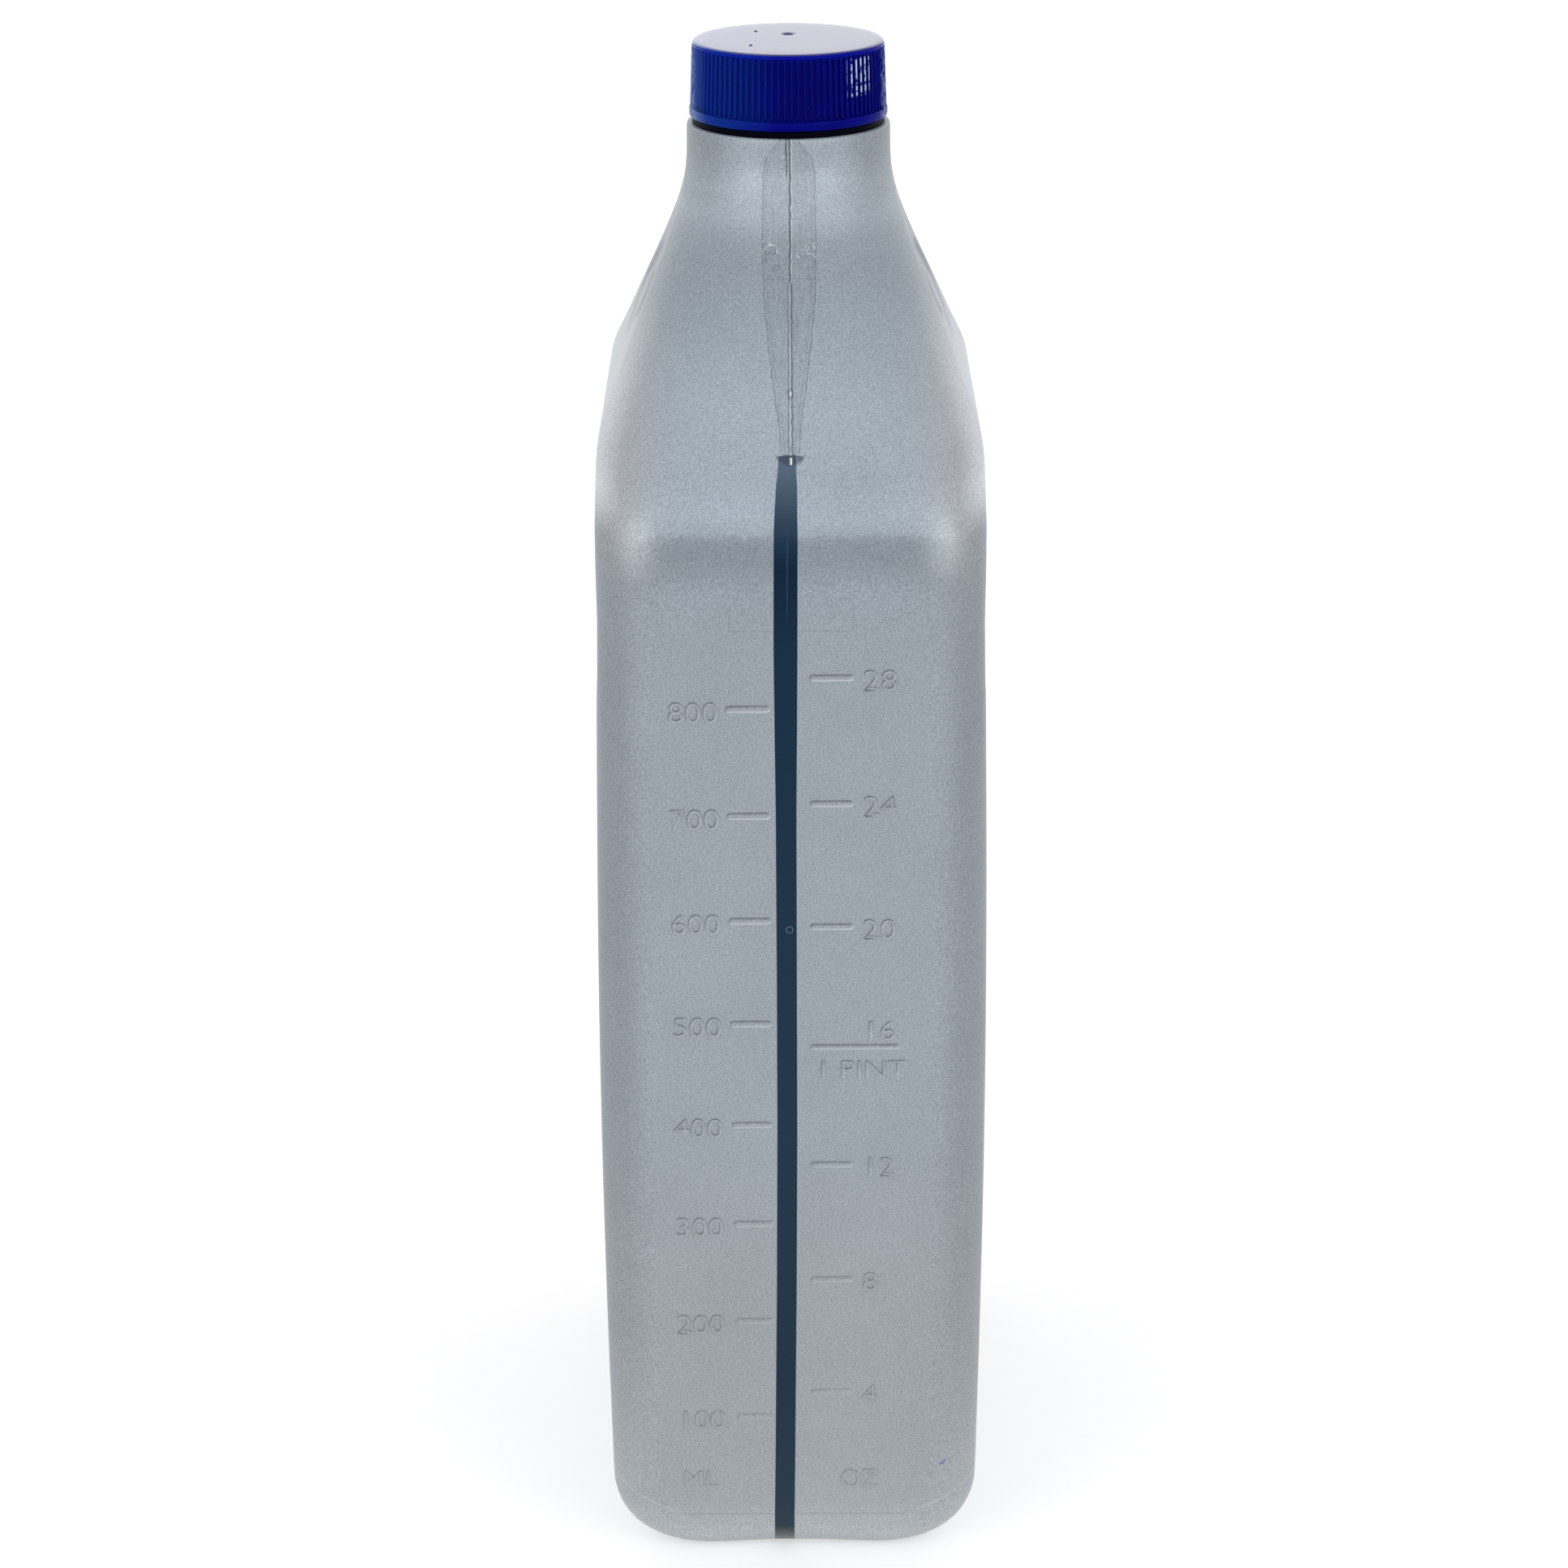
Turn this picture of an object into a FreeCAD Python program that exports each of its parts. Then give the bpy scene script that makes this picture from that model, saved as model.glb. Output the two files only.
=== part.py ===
"""A one-quart motor oil bottle: a thin blow-moulded shell with a threaded neck, a screw cap with its liner,
the tamper band left on the neck, two thin labels and the oil inside.

Millimetres, +Z up. The origin is at the centre of the base. X runs through the bottle's thickness, Y along
its long side, and the narrow face with the view stripe looks towards -Y.
"""
import FreeCAD
import Part
import math
import os

from FreeCAD import Vector

UP = Vector(0, 0, 1)

# Body of the bottle
HALF_THICKNESS = 29.9       # from the middle plane to a broad face, at the foot
BULGE = 1.0                 # how much each broad face swells at mid height
HALF_LENGTH = 50.5          # from the middle plane to a narrow face
BODY_TOP_Z = 160.0          # above this height the shoulder outlines take over
BASE_ROUND_X = 11.2         # rounding between the base and the broad faces
BASE_ROUND_Y = 6.0          # rounding between the base and the narrow faces
WALL = 1.0
FLOOR = 2.0
PUSH_UP = 0.7               # depth of the dished middle of the base
PUSH_UP_MARGIN = 7.0        # width of the flat ring that the bottle stands on, outside the dish

# Shoulder outlines from the body to the collar: height, then half size
SHOULDER_THICKNESS = [(160.0, 29.9), (170.0, 30.0), (178.0, 30.0), (186.0, 29.7), (194.0, 26.6),
                      (202.0, 23.3), (210.0, 19.9), (216.0, 17.7), (222.0, 16.3), (229.0, 16.05)]
SHOULDER_LENGTH = [(160.0, 50.5), (168.0, 50.4), (174.0, 49.9), (178.0, 48.3), (190.0, 41.0),
                   (202.0, 33.7), (212.0, 26.4), (218.0, 20.7), (223.0, 17.0), (229.0, 16.05)]
SHOULDER_CORNER = [(160.0, 9.0), (175.0, 9.5), (183.0, 13.5), (192.0, 18.5), (203.0, 20.0),
                   (212.0, 18.0), (221.0, 16.4), (229.0, 16.05)]
COLLAR_TOP_Z = 229.3
COLLAR_EDGE = 0.3           # rounding of the collar's upper edge

# Oval panel on each broad shoulder: a shallow recess with a raised oval pad in it
PANEL_Z = 202.0
PANEL_HALF_HEIGHT = 8.0
PANEL_HALF_LENGTH = 11.0
PAD_SCALE = 0.5
PANEL_DEPTH = 0.5

# Trimmed seam ridge on both shoulder slopes
SEAM_FOOT_Z = 186.0
SEAM_TOP_Z = 209.0
SEAM_THICKNESS = 0.5
SEAM_PROUD = 0.35

# Neck finish above the collar
NECK_ROOT_RADIUS = 12.55
NECK_BORE_RADIUS = 10.4
NECK_RIM_Z = 239.7
RIM_ROUND = 0.4
FUNNEL_FOOT_Z = 221.0       # inside, where the collar starts to narrow to the bore
FUNNEL_TOP_Z = 227.0
THREAD_PITCH = 4.23
THREAD_CREST_RADIUS = 13.6
THREAD_TURNS = 1.15
THREAD_ROOT_WIDTH = 1.9
THREAD_CREST_WIDTH = 0.9
THREAD_START_Z = 233.4      # centre of the ridge where it begins, on the +X side
BEAD_RADIUS = 13.7
BEAD_FOOT_Z = 230.3
BEAD_TOP_Z = 230.9

# Screw cap
CAP_TOP_Z = 242.2
CAP_FOOT_Z = 230.4
CAP_TOP_WALL = 1.3
CAP_BORE_RADIUS = 13.9
CAP_RADIUS_TOP = 15.05
CAP_RADIUS_FOOT = 15.4
CAP_EDGE_ROUND = 0.6
CAP_BEAD_RADIUS = 15.65
CAP_BEAD_TOP_Z = 231.9
RIB_COUNT = 94
RIB_DEPTH = 0.3
RIB_TOP_Z = 241.3
RIB_CREST_SHARE = 0.35      # of the pitch between two ribs
RIB_ROOT_SHARE = 0.35
GATE_RADIUS = 1.2
GATE_DEPTH = 0.3
GATE_Y = 4.0                # gate mark behind the middle of the top
CAP_THREAD_RADIUS = 12.85   # inner tips of the cap's thread
CAP_THREAD_START = 0.2      # turns after the start of the neck's thread
CAP_THREAD_TURNS = 1.1
CAP_THREAD_ROOT_WIDTH = 1.5
CAP_THREAD_CREST_WIDTH = 0.7

# Liner and tamper band
LINER_RADIUS = 13.3
LINER_GAP = 0.05            # above the rim and below the cap's top wall
BAND_INNER_RADIUS = 13.2
BAND_OUTER_RADIUS = 15.2
BAND_TOP_Z = 230.2

# Labels on the broad faces
LABEL_THICKNESS = 0.2
LABEL_GLUE = 0.04           # glue between label and wall
LABEL_HALF_LENGTH = 38.0
LABEL_FOOT_Z = 22.0
LABEL_TOP_Z = 150.0
LABEL_CORNER = 6.0

# Oil
OIL_GAP = 0.2
OIL_LEVEL_Z = 174.0

# Raised volume marks beside the view stripe, on the narrow face
MARK_PROUD = 0.25
MARK_WIDTH = 1.2
MARK_START_X = 3.0
MARK_END_X = 10.2
PINT_MARK_END_X = 16.9
MARK_ROOT = 0.5             # how deep the marks reach into the wall
ML_ZERO_Z = 8.5
ML_STEP_Z = 17.5            # for each 100 ml
ML_MARKS = 8
OZ_ZERO_Z = 10.0
OZ_STEP_Z = 20.5            # for each 4 fluid ounces
OZ_MARKS = 7
PINT_MARK = 4               # the fourth ounce mark is the long one, at one pint

# Directions in a quarter of a section, in degrees from the X axis, closest where the corners are
QUARTER_DIRECTIONS = [0, 8, 16, 24, 32, 38, 43, 47, 50, 53, 56, 59, 62, 65, 68, 71, 74, 77, 81, 85]
SHOULDER_STEP = 3.0
BODY_STEP = 20.0


def outline(points, z):
    """Half size at height z on a smooth curve through the points of an outline."""
    if z <= points[0][0]:
        return points[0][1]
    if z >= points[-1][0]:
        return points[-1][1]
    slopes = []
    for index in range(len(points)):
        before = points[max(index - 1, 0)]
        after = points[min(index + 1, len(points) - 1)]
        slopes.append((after[1] - before[1]) / (after[0] - before[0]))
    index = max(i for i in range(len(points) - 1) if points[i][0] <= z)
    start, end = points[index], points[index + 1]
    span = end[0] - start[0]
    t = (z - start[0]) / span
    value = start[1] * (1 + 2 * t) * (1 - t) ** 2 + end[1] * t * t * (3 - 2 * t)
    value += span * (slopes[index] * t * (1 - t) ** 2 - slopes[index + 1] * t * t * (1 - t))
    return value


def round_inset(radius, height):
    """How far a quarter round of this radius stands back from its side, at a height above its foot."""
    if height >= radius:
        return 0.0
    return radius - math.sqrt(radius * radius - (radius - height) ** 2)


def section_sizes(z, inset, foot_z):
    """Half thickness, half length and corner radius at height z, for the skin moved inwards by inset."""
    height = z - foot_z
    thickness = outline(SHOULDER_THICKNESS, z)
    if z < BODY_TOP_Z:
        thickness = HALF_THICKNESS + BULGE * math.sin(math.pi * z / BODY_TOP_Z)
    slant = 1.0 if z < BODY_TOP_Z else 1.2
    depth = inset * slant
    half_x = thickness - depth - round_inset(BASE_ROUND_X - max(inset, 0.0), height)
    half_y = outline(SHOULDER_LENGTH, z) - depth - round_inset(BASE_ROUND_Y - max(inset, 0.0), height)
    corner = outline(SHOULDER_CORNER, z) - depth
    return half_x, half_y, min(corner, half_x, half_y)


def section_point(half_x, half_y, corner, degrees, z):
    """Point of a rounded rectangle in one direction from its centre."""
    c, s = math.cos(math.radians(degrees)), math.sin(math.radians(degrees))
    along = min(half_x / max(abs(c), 1e-9), half_y / max(abs(s), 1e-9))
    centre_x, centre_y = half_x - corner, half_y - corner
    if abs(c) * along > centre_x and abs(s) * along > centre_y:
        middle = abs(c) * centre_x + abs(s) * centre_y
        rest = centre_x ** 2 + centre_y ** 2 - corner ** 2
        along = middle + math.sqrt(max(middle * middle - rest, 0.0))
    return Vector(c * along, s * along, z)


def all_directions():
    """Directions of the points of a whole section, mirrored from one quarter."""
    quarter = QUARTER_DIRECTIONS
    half = quarter + [90] + [180 - angle for angle in reversed(quarter[1:])]
    return half + [180 + angle for angle in half]


def heights(foot_z, top_z, inset):
    """Heights of the sections: close together in the base rounding and on the shoulder."""
    found = []
    radius = BASE_ROUND_X - max(inset, 0.0)
    for degrees in range(0, 90, 15):
        found.append(foot_z + radius * (1 - math.cos(math.radians(degrees))))
    z = foot_z + radius + 1.0
    while z < min(BODY_TOP_Z, top_z - 1.0):
        found.append(z)
        z += BODY_STEP
    z = BODY_TOP_Z
    while z < top_z - 1.0:
        found.append(z)
        z += SHOULDER_STEP
    found.append(top_z)
    return found


def ring(half_x, half_y, corner, z):
    """Points of one section."""
    return [section_point(half_x, half_y, corner, angle, z) for angle in all_directions()]


def skin_solid(rings):
    """Closed solid whose side is one smooth surface with the rings as its net, flat at both ends."""
    around, up = len(rings[0]), len(rings)
    net = [[rings[row][column] for row in range(up)] for column in range(around)]
    surface = Part.BSplineSurface()
    around_knots = [float(index) for index in range(around + 1)]
    up_knots = [float(index) for index in range(up - 2)]
    up_counts = [4] + [1] * (up - 4) + [4]
    surface.buildFromPolesMultsKnots(net, [1] * (around + 1), up_counts, around_knots, up_knots,
                                     True, False, 3, 3)
    side = surface.toShape()
    faces = [side]
    for parameter in (up_knots[0], up_knots[-1]):
        edge = surface.vIso(parameter).toShape()
        faces.append(Part.Face(Part.Wire([edge])))
    shell = Part.makeShell(faces)
    shell.sewShape()
    solid = Part.makeSolid(shell)
    if solid.Volume < 0:
        solid.reverse()
    return solid


def moved_skin(inset, foot_z, top_z):
    """The body's skin moved inwards by inset, from foot_z up to top_z."""
    rings = [ring(*section_sizes(z, inset, foot_z), z) for z in heights(foot_z, top_z, inset)]
    return skin_solid(rings)


def outer_body():
    """Outside of the body and shoulder, up to the collar's rounded upper edge."""
    levels = heights(0.0, COLLAR_TOP_Z - COLLAR_EDGE, 0.0)
    rings = [ring(*section_sizes(z, 0.0, 0.0), z) for z in levels]
    small = COLLAR_EDGE * 0.3
    rings.append(ring(*section_sizes(COLLAR_TOP_Z, small, 0.0), COLLAR_TOP_Z - small))
    rings.append(ring(*section_sizes(COLLAR_TOP_Z, COLLAR_EDGE, 0.0), COLLAR_TOP_Z))
    return skin_solid(rings)


def cavity():
    """Inside of the bottle: the skin moved in by the wall, narrowing to the bore of the neck."""
    levels = heights(FLOOR, FUNNEL_TOP_Z, WALL)
    rings = []
    for z in levels:
        half_x, half_y, corner = section_sizes(z, WALL, FLOOR)
        if z > FUNNEL_FOOT_Z:
            share = (z - FUNNEL_FOOT_Z) / (FUNNEL_TOP_Z - FUNNEL_FOOT_Z)
            target = NECK_BORE_RADIUS - 0.1
            half_x += (target - half_x) * share
            half_y += (target - half_y) * share
            corner = min(half_x, half_y)
        rings.append(ring(half_x, half_y, corner, z))
    bore = Part.makeCylinder(NECK_BORE_RADIUS, NECK_RIM_Z + 5.0 - FUNNEL_TOP_Z + 1.0,
                             Vector(0, 0, FUNNEL_TOP_Z - 1.0))
    return skin_solid(rings), bore


def helical_ridge(root_radius, crest_radius, root_width, crest_width, start_z, turns, start_turn):
    """Thread ridge of trapezoid section that climbs anticlockwise by one pitch in each turn."""
    sink = 0.3 if crest_radius > root_radius else -0.3
    foot = root_radius - sink
    corners = [Vector(foot, 0, -root_width / 2), Vector(crest_radius, 0, -crest_width / 2),
               Vector(crest_radius, 0, crest_width / 2), Vector(foot, 0, root_width / 2)]
    profile = Part.makePolygon(corners + [corners[0]])
    helix = Part.makeHelix(THREAD_PITCH, THREAD_PITCH * turns, (root_radius + crest_radius) / 2)
    ridge = Part.Wire(helix).makePipeShell([profile], True, True)
    ridge.rotate(Vector(0, 0, 0), UP, 360.0 * start_turn)
    ridge.translate(Vector(0, 0, start_z + THREAD_PITCH * start_turn))
    return ridge


def neck_finish():
    """Round neck with its thread and the bead that holds the tamper band."""
    foot = Vector(0, 0, COLLAR_TOP_Z - 1.0)
    neck = Part.makeCylinder(NECK_ROOT_RADIUS, NECK_RIM_Z - COLLAR_TOP_Z + 1.0, foot)
    rim = [edge for edge in neck.Edges if abs(edge.BoundBox.ZMin - NECK_RIM_Z) < 0.01]
    neck = neck.makeFillet(RIM_ROUND, [rim[0]])
    bead = Part.makeCylinder(BEAD_RADIUS, BEAD_TOP_Z - BEAD_FOOT_Z, Vector(0, 0, BEAD_FOOT_Z))
    thread = helical_ridge(NECK_ROOT_RADIUS, THREAD_CREST_RADIUS, THREAD_ROOT_WIDTH, THREAD_CREST_WIDTH,
                           THREAD_START_Z, THREAD_TURNS, 0.0)
    return neck.fuse(bead).fuse(thread)


def oval_prism(scale, side):
    """Oval block that reaches through one broad shoulder, side +1 or -1."""
    oval = Part.Ellipse(Vector(0, 0, 0), PANEL_HALF_LENGTH * scale, PANEL_HALF_HEIGHT * scale)
    face = Part.Face(Part.Wire([oval.toShape()]))
    face.rotate(Vector(0, 0, 0), Vector(1, 1, 1), 120)
    face.translate(Vector(0, 0, PANEL_Z))
    return face.extrude(Vector(side * 2 * HALF_THICKNESS, 0, 0))


def shoulder_panels(body):
    """Cut the oval recess with its raised pad into both broad shoulders."""
    deeper = moved_skin(PANEL_DEPTH, 150.0, 225.0)
    for side in (1, -1):
        tool = oval_prism(1.0, side).cut(oval_prism(PAD_SCALE, side)).cut(deeper)
        body = body.cut(tool)
    return body


def seam_ridges():
    """Trimmed seam on the middle plane of both shoulder slopes."""
    ridges = []
    count = 8
    for side in (1, -1):
        levels = [SEAM_FOOT_Z + (SEAM_TOP_Z - SEAM_FOOT_Z) * index / count for index in range(count + 1)]
        outside = [Vector(0, side * (outline(SHOULDER_LENGTH, z) + SEAM_PROUD), z) for z in levels]
        inside = [Vector(0, side * (outline(SHOULDER_LENGTH, z) - WALL / 2), z) for z in reversed(levels)]
        face = Part.Face(Part.makePolygon(outside + inside + [outside[0]]))
        face.translate(Vector(-SEAM_THICKNESS / 2, 0, 0))
        ridges.append(face.extrude(Vector(SEAM_THICKNESS, 0, 0)))
    return ridges


def mark_bar(start_x, end_x, z):
    """One raised mark on the narrow face, with rounded ends."""
    radius = MARK_WIDTH / 2
    front = -HALF_LENGTH - MARK_PROUD
    depth = MARK_PROUD + MARK_ROOT
    low, high = min(start_x, end_x) + radius, max(start_x, end_x) - radius
    bar = Part.makeBox(high - low, depth, MARK_WIDTH, Vector(low, front, z - radius))
    for x in (low, high):
        bar = bar.fuse(Part.makeCylinder(radius, depth, Vector(x, front, z), Vector(0, 1, 0)))
    return bar.removeSplitter()


def volume_marks():
    """Millilitre marks left of the view stripe and fluid ounce marks right of it."""
    marks = []
    for number in range(1, ML_MARKS + 1):
        marks.append(mark_bar(-MARK_END_X, -MARK_START_X, ML_ZERO_Z + ML_STEP_Z * number))
    for number in range(1, OZ_MARKS + 1):
        end_x = PINT_MARK_END_X if number == PINT_MARK else MARK_END_X
        marks.append(mark_bar(MARK_START_X, end_x, OZ_ZERO_Z + OZ_STEP_Z * number))
    return marks


def base_dish():
    """Shallow dish under the base, so that the bottle stands on a ring."""
    half_x = HALF_THICKNESS - BASE_ROUND_X - PUSH_UP_MARGIN
    half_y = HALF_LENGTH - BASE_ROUND_Y - PUSH_UP_MARGIN
    wires = []
    for z, step in ((-1.0, 0.0), (0.0, 0.0), (PUSH_UP, 3.0)):
        points = [(half_x - step, half_y - step), (step - half_x, half_y - step),
                  (step - half_x, step - half_y), (half_x - step, step - half_y)]
        corners = [Vector(x, y, z) for x, y in points]
        wires.append(Part.makePolygon(corners + [corners[0]]))
    return Part.makeLoft(wires, True, True)


def bottle():
    """The whole blow-moulded bottle as one shell."""
    body = outer_body().fuse(neck_finish())
    body = shoulder_panels(body)
    for piece in seam_ridges() + volume_marks():
        body = body.fuse(piece)
    inside, bore = cavity()
    return body.cut(inside).cut(bore).cut(base_dish())


def toothed_ring(root_radius, z):
    """Closed outline of the ribbed skirt at one height."""
    pitch = 360.0 / RIB_COUNT
    crest = root_radius + RIB_DEPTH
    points = []
    for number in range(RIB_COUNT):
        middle = number * pitch
        for share, radius in ((-0.5 * (1 - RIB_ROOT_SHARE), root_radius), (-0.5 * RIB_CREST_SHARE, crest),
                              (0.5 * RIB_CREST_SHARE, crest), (0.5 * (1 - RIB_ROOT_SHARE), root_radius)):
            angle = math.radians(middle + share * pitch)
            points.append(Vector(radius * math.cos(angle), radius * math.sin(angle), z))
    return Part.makePolygon(points + [points[0]])


def cap():
    """Screw cap: ribbed skirt, plain bead at its foot, flat top with a gate mark, internal thread."""
    skirt = Part.makeLoft([toothed_ring(CAP_RADIUS_FOOT - RIB_DEPTH, CAP_BEAD_TOP_Z),
                           toothed_ring(CAP_RADIUS_TOP - RIB_DEPTH, RIB_TOP_Z)], True, True)
    bead = Part.makeCylinder(CAP_BEAD_RADIUS, CAP_BEAD_TOP_Z - CAP_FOOT_Z, Vector(0, 0, CAP_FOOT_Z))
    crown = Part.makeCylinder(CAP_RADIUS_TOP, CAP_TOP_Z - RIB_TOP_Z, Vector(0, 0, RIB_TOP_Z))
    edge = [edge for edge in crown.Edges if abs(edge.BoundBox.ZMin - CAP_TOP_Z) < 0.01]
    crown = crown.makeFillet(CAP_EDGE_ROUND, [edge[0]])
    body = skirt.fuse(bead).fuse(crown)
    body = body.cut(Part.makeCylinder(CAP_BORE_RADIUS, CAP_TOP_Z - CAP_TOP_WALL - CAP_FOOT_Z + 1.0,
                                      Vector(0, 0, CAP_FOOT_Z - 1.0)))
    gate = Vector(0, GATE_Y, CAP_TOP_Z - GATE_DEPTH)
    body = body.cut(Part.makeCone(GATE_RADIUS * 0.5, GATE_RADIUS, GATE_DEPTH, gate))
    thread = helical_ridge(CAP_BORE_RADIUS, CAP_THREAD_RADIUS, CAP_THREAD_ROOT_WIDTH, CAP_THREAD_CREST_WIDTH,
                           THREAD_START_Z - THREAD_PITCH / 2, CAP_THREAD_TURNS, CAP_THREAD_START)
    return body.fuse(thread)


def cap_liner():
    """Disc wad under the cap's top."""
    foot = NECK_RIM_Z + LINER_GAP
    top = CAP_TOP_Z - CAP_TOP_WALL - LINER_GAP
    return Part.makeCylinder(LINER_RADIUS, top - foot, Vector(0, 0, foot))


def tamper_band():
    """Ring left on the neck below its bead."""
    height = BAND_TOP_Z - COLLAR_TOP_Z
    outside = Part.makeCylinder(BAND_OUTER_RADIUS, height, Vector(0, 0, COLLAR_TOP_Z))
    return outside.cut(Part.makeCylinder(BAND_INNER_RADIUS, height, Vector(0, 0, COLLAR_TOP_Z)))


def label(side):
    """Thin label that follows a broad face, side +1 or -1."""
    block = Part.makeBox(20.0, 2 * LABEL_HALF_LENGTH, LABEL_TOP_Z - LABEL_FOOT_Z,
                         Vector(20.0, -LABEL_HALF_LENGTH, LABEL_FOOT_Z))
    upright = [edge for edge in block.Edges
               if abs(edge.BoundBox.XLength) > 19.0 and edge.BoundBox.YLength < 0.1
               and edge.BoundBox.ZLength < 0.1]
    block = block.makeFillet(LABEL_CORNER, upright)
    if side < 0:
        block.rotate(Vector(0, 0, 0), UP, 180)
    sheet = block.common(moved_skin(-LABEL_GLUE - LABEL_THICKNESS, 0.0, BODY_TOP_Z))
    return sheet.cut(moved_skin(-LABEL_GLUE, 0.0, BODY_TOP_Z))


def motor_oil():
    """Oil that fills the body up to its level."""
    return moved_skin(WALL + OIL_GAP, FLOOR + OIL_GAP, OIL_LEVEL_Z)


def export(name, shape):
    """Write one piece and print what it is."""
    solids = shape.Solids
    if len(solids) == 1:
        shape = solids[0]
    shape.exportStep(os.path.join("parts", name + ".step"))
    print(name, "solids", len(solids), "valid", shape.isValid(), "volume", round(shape.Volume, 1))


os.makedirs("parts", exist_ok=True)
export("bottle", bottle())
export("cap", cap())
export("cap_liner", cap_liner())
export("tamper_band", tamper_band())
export("front_label", label(1))
export("back_label", label(-1))
export("motor_oil", motor_oil())
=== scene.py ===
"""Dresses the one-quart motor oil bottle: a blow-moulded shell with its view stripe, seam and raised volume
marks, a ribbed screw cap with its band and liner, two plain labels and the oil, on a pale studio floor.

Outlines and places are in millimetres and become metres where a mesh is made.
"""
import bpy
import math
from bpy.props import FloatProperty, FloatVectorProperty, IntProperty, PointerProperty
from mathutils import Matrix, Vector, noise


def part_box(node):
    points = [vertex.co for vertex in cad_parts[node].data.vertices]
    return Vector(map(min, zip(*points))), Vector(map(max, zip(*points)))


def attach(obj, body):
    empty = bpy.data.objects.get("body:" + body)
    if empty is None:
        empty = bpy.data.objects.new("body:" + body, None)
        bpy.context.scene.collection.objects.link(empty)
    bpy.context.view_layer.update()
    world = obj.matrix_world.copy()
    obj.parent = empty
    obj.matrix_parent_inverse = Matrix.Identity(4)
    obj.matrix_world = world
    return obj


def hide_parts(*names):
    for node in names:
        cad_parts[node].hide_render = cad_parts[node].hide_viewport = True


bl_info = {
    "name": "Motor oil bottle",
    "version": (1, 0, 0),
    "blender": (4, 5, 0),
    "location": "View3D > Sidebar > Oil bottle",
    "description": "Builds the dressed pieces, materials and studio of a motor oil bottle",
    "category": "Object",
}

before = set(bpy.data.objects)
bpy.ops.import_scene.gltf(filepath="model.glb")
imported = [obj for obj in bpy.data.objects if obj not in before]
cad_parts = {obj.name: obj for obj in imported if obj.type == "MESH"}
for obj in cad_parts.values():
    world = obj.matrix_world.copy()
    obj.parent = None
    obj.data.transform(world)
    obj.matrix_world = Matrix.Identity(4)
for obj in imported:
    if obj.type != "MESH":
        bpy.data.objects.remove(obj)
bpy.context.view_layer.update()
MM = 0.001

# Outlines of the shell from the body to the collar: height, then half size
BODY_TOP = 160.0
SHOULDER_THICKNESS = [(160.0, 29.9), (170.0, 30.0), (178.0, 30.0), (186.0, 29.7), (194.0, 26.6),
                      (202.0, 23.3), (210.0, 19.9), (216.0, 17.7), (222.0, 16.3), (229.0, 16.05)]
SHOULDER_LENGTH = [(160.0, 50.5), (168.0, 50.4), (174.0, 49.9), (178.0, 48.3), (190.0, 41.0),
                   (202.0, 33.7), (212.0, 26.4), (218.0, 20.7), (223.0, 17.0), (229.0, 16.05)]
SHOULDER_CORNER = [(160.0, 9.0), (175.0, 9.5), (183.0, 13.5), (192.0, 18.5), (203.0, 20.0), (212.0, 18.0),
                   (221.0, 16.4), (229.0, 16.05)]
FLOOR_TOP = 2.0
DISH_DEPTH = 0.7
DISH_MARGIN = 7.0
COLLAR_TOP = 229.3
COLLAR_RADIUS = 16.05

# Seam and pinch-off area on the shoulder slopes
SEAM_COLUMNS = [0.0, 0.12, 0.24, 0.36, 0.5, 0.75, 1.0, 1.35, 1.7, 2.1, 2.5, 2.9, 3.3, 3.7, 4.1, 4.5, 5.0, 5.5]
QUARTER_STEPS = 52
RIDGE_FOOT = 186.2
RIDGE_TOP = 209.6
PINCH_OUTLINE = [(186.9, 1.35), (190.4, 1.6), (194.0, 2.2), (199.0, 2.95), (206.4, 3.8), (212.6, 4.13),
                 (224.0, 4.0), (226.5, 3.5), (228.8, 1.7)]

# Oval panel on each broad shoulder
PANEL_Z = 202.0
PANEL_HALF_HEIGHT = 8.0
PANEL_HALF_LENGTH = 11.0
PAD_SCALE = 0.5

# Neck finish and screw thread
NECK_ROOT = 12.55
NECK_BORE = 10.4
NECK_RIM = 239.7
BEAD_RADIUS = 13.7
THREAD_PITCH = 4.23
THREAD_HEIGHT = 1.05
NECK_THREAD = (233.4, 0.0, 1.15, 0.95, 0.45)      # start height, first and last turn, half widths
CAP_THREAD = (231.285, 0.2, 1.3, 0.75, 0.35)

# Cap profile
CAP_FOOT = 230.4
CAP_TOP = 242.2
CAP_BORE = 13.9
CAP_BORE_TOP = 240.9
CAP_COLUMNS = 188
GATE_Y = 4.0


def linear(hex_colour):
    """Linear RGBA of an sRGB hex colour."""
    values = [int(hex_colour[i:i + 2], 16) / 255 for i in (1, 3, 5)]
    return [v / 12.92 if v <= 0.04045 else ((v + 0.055) / 1.055) ** 2.4 for v in values] + [1.0]


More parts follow.
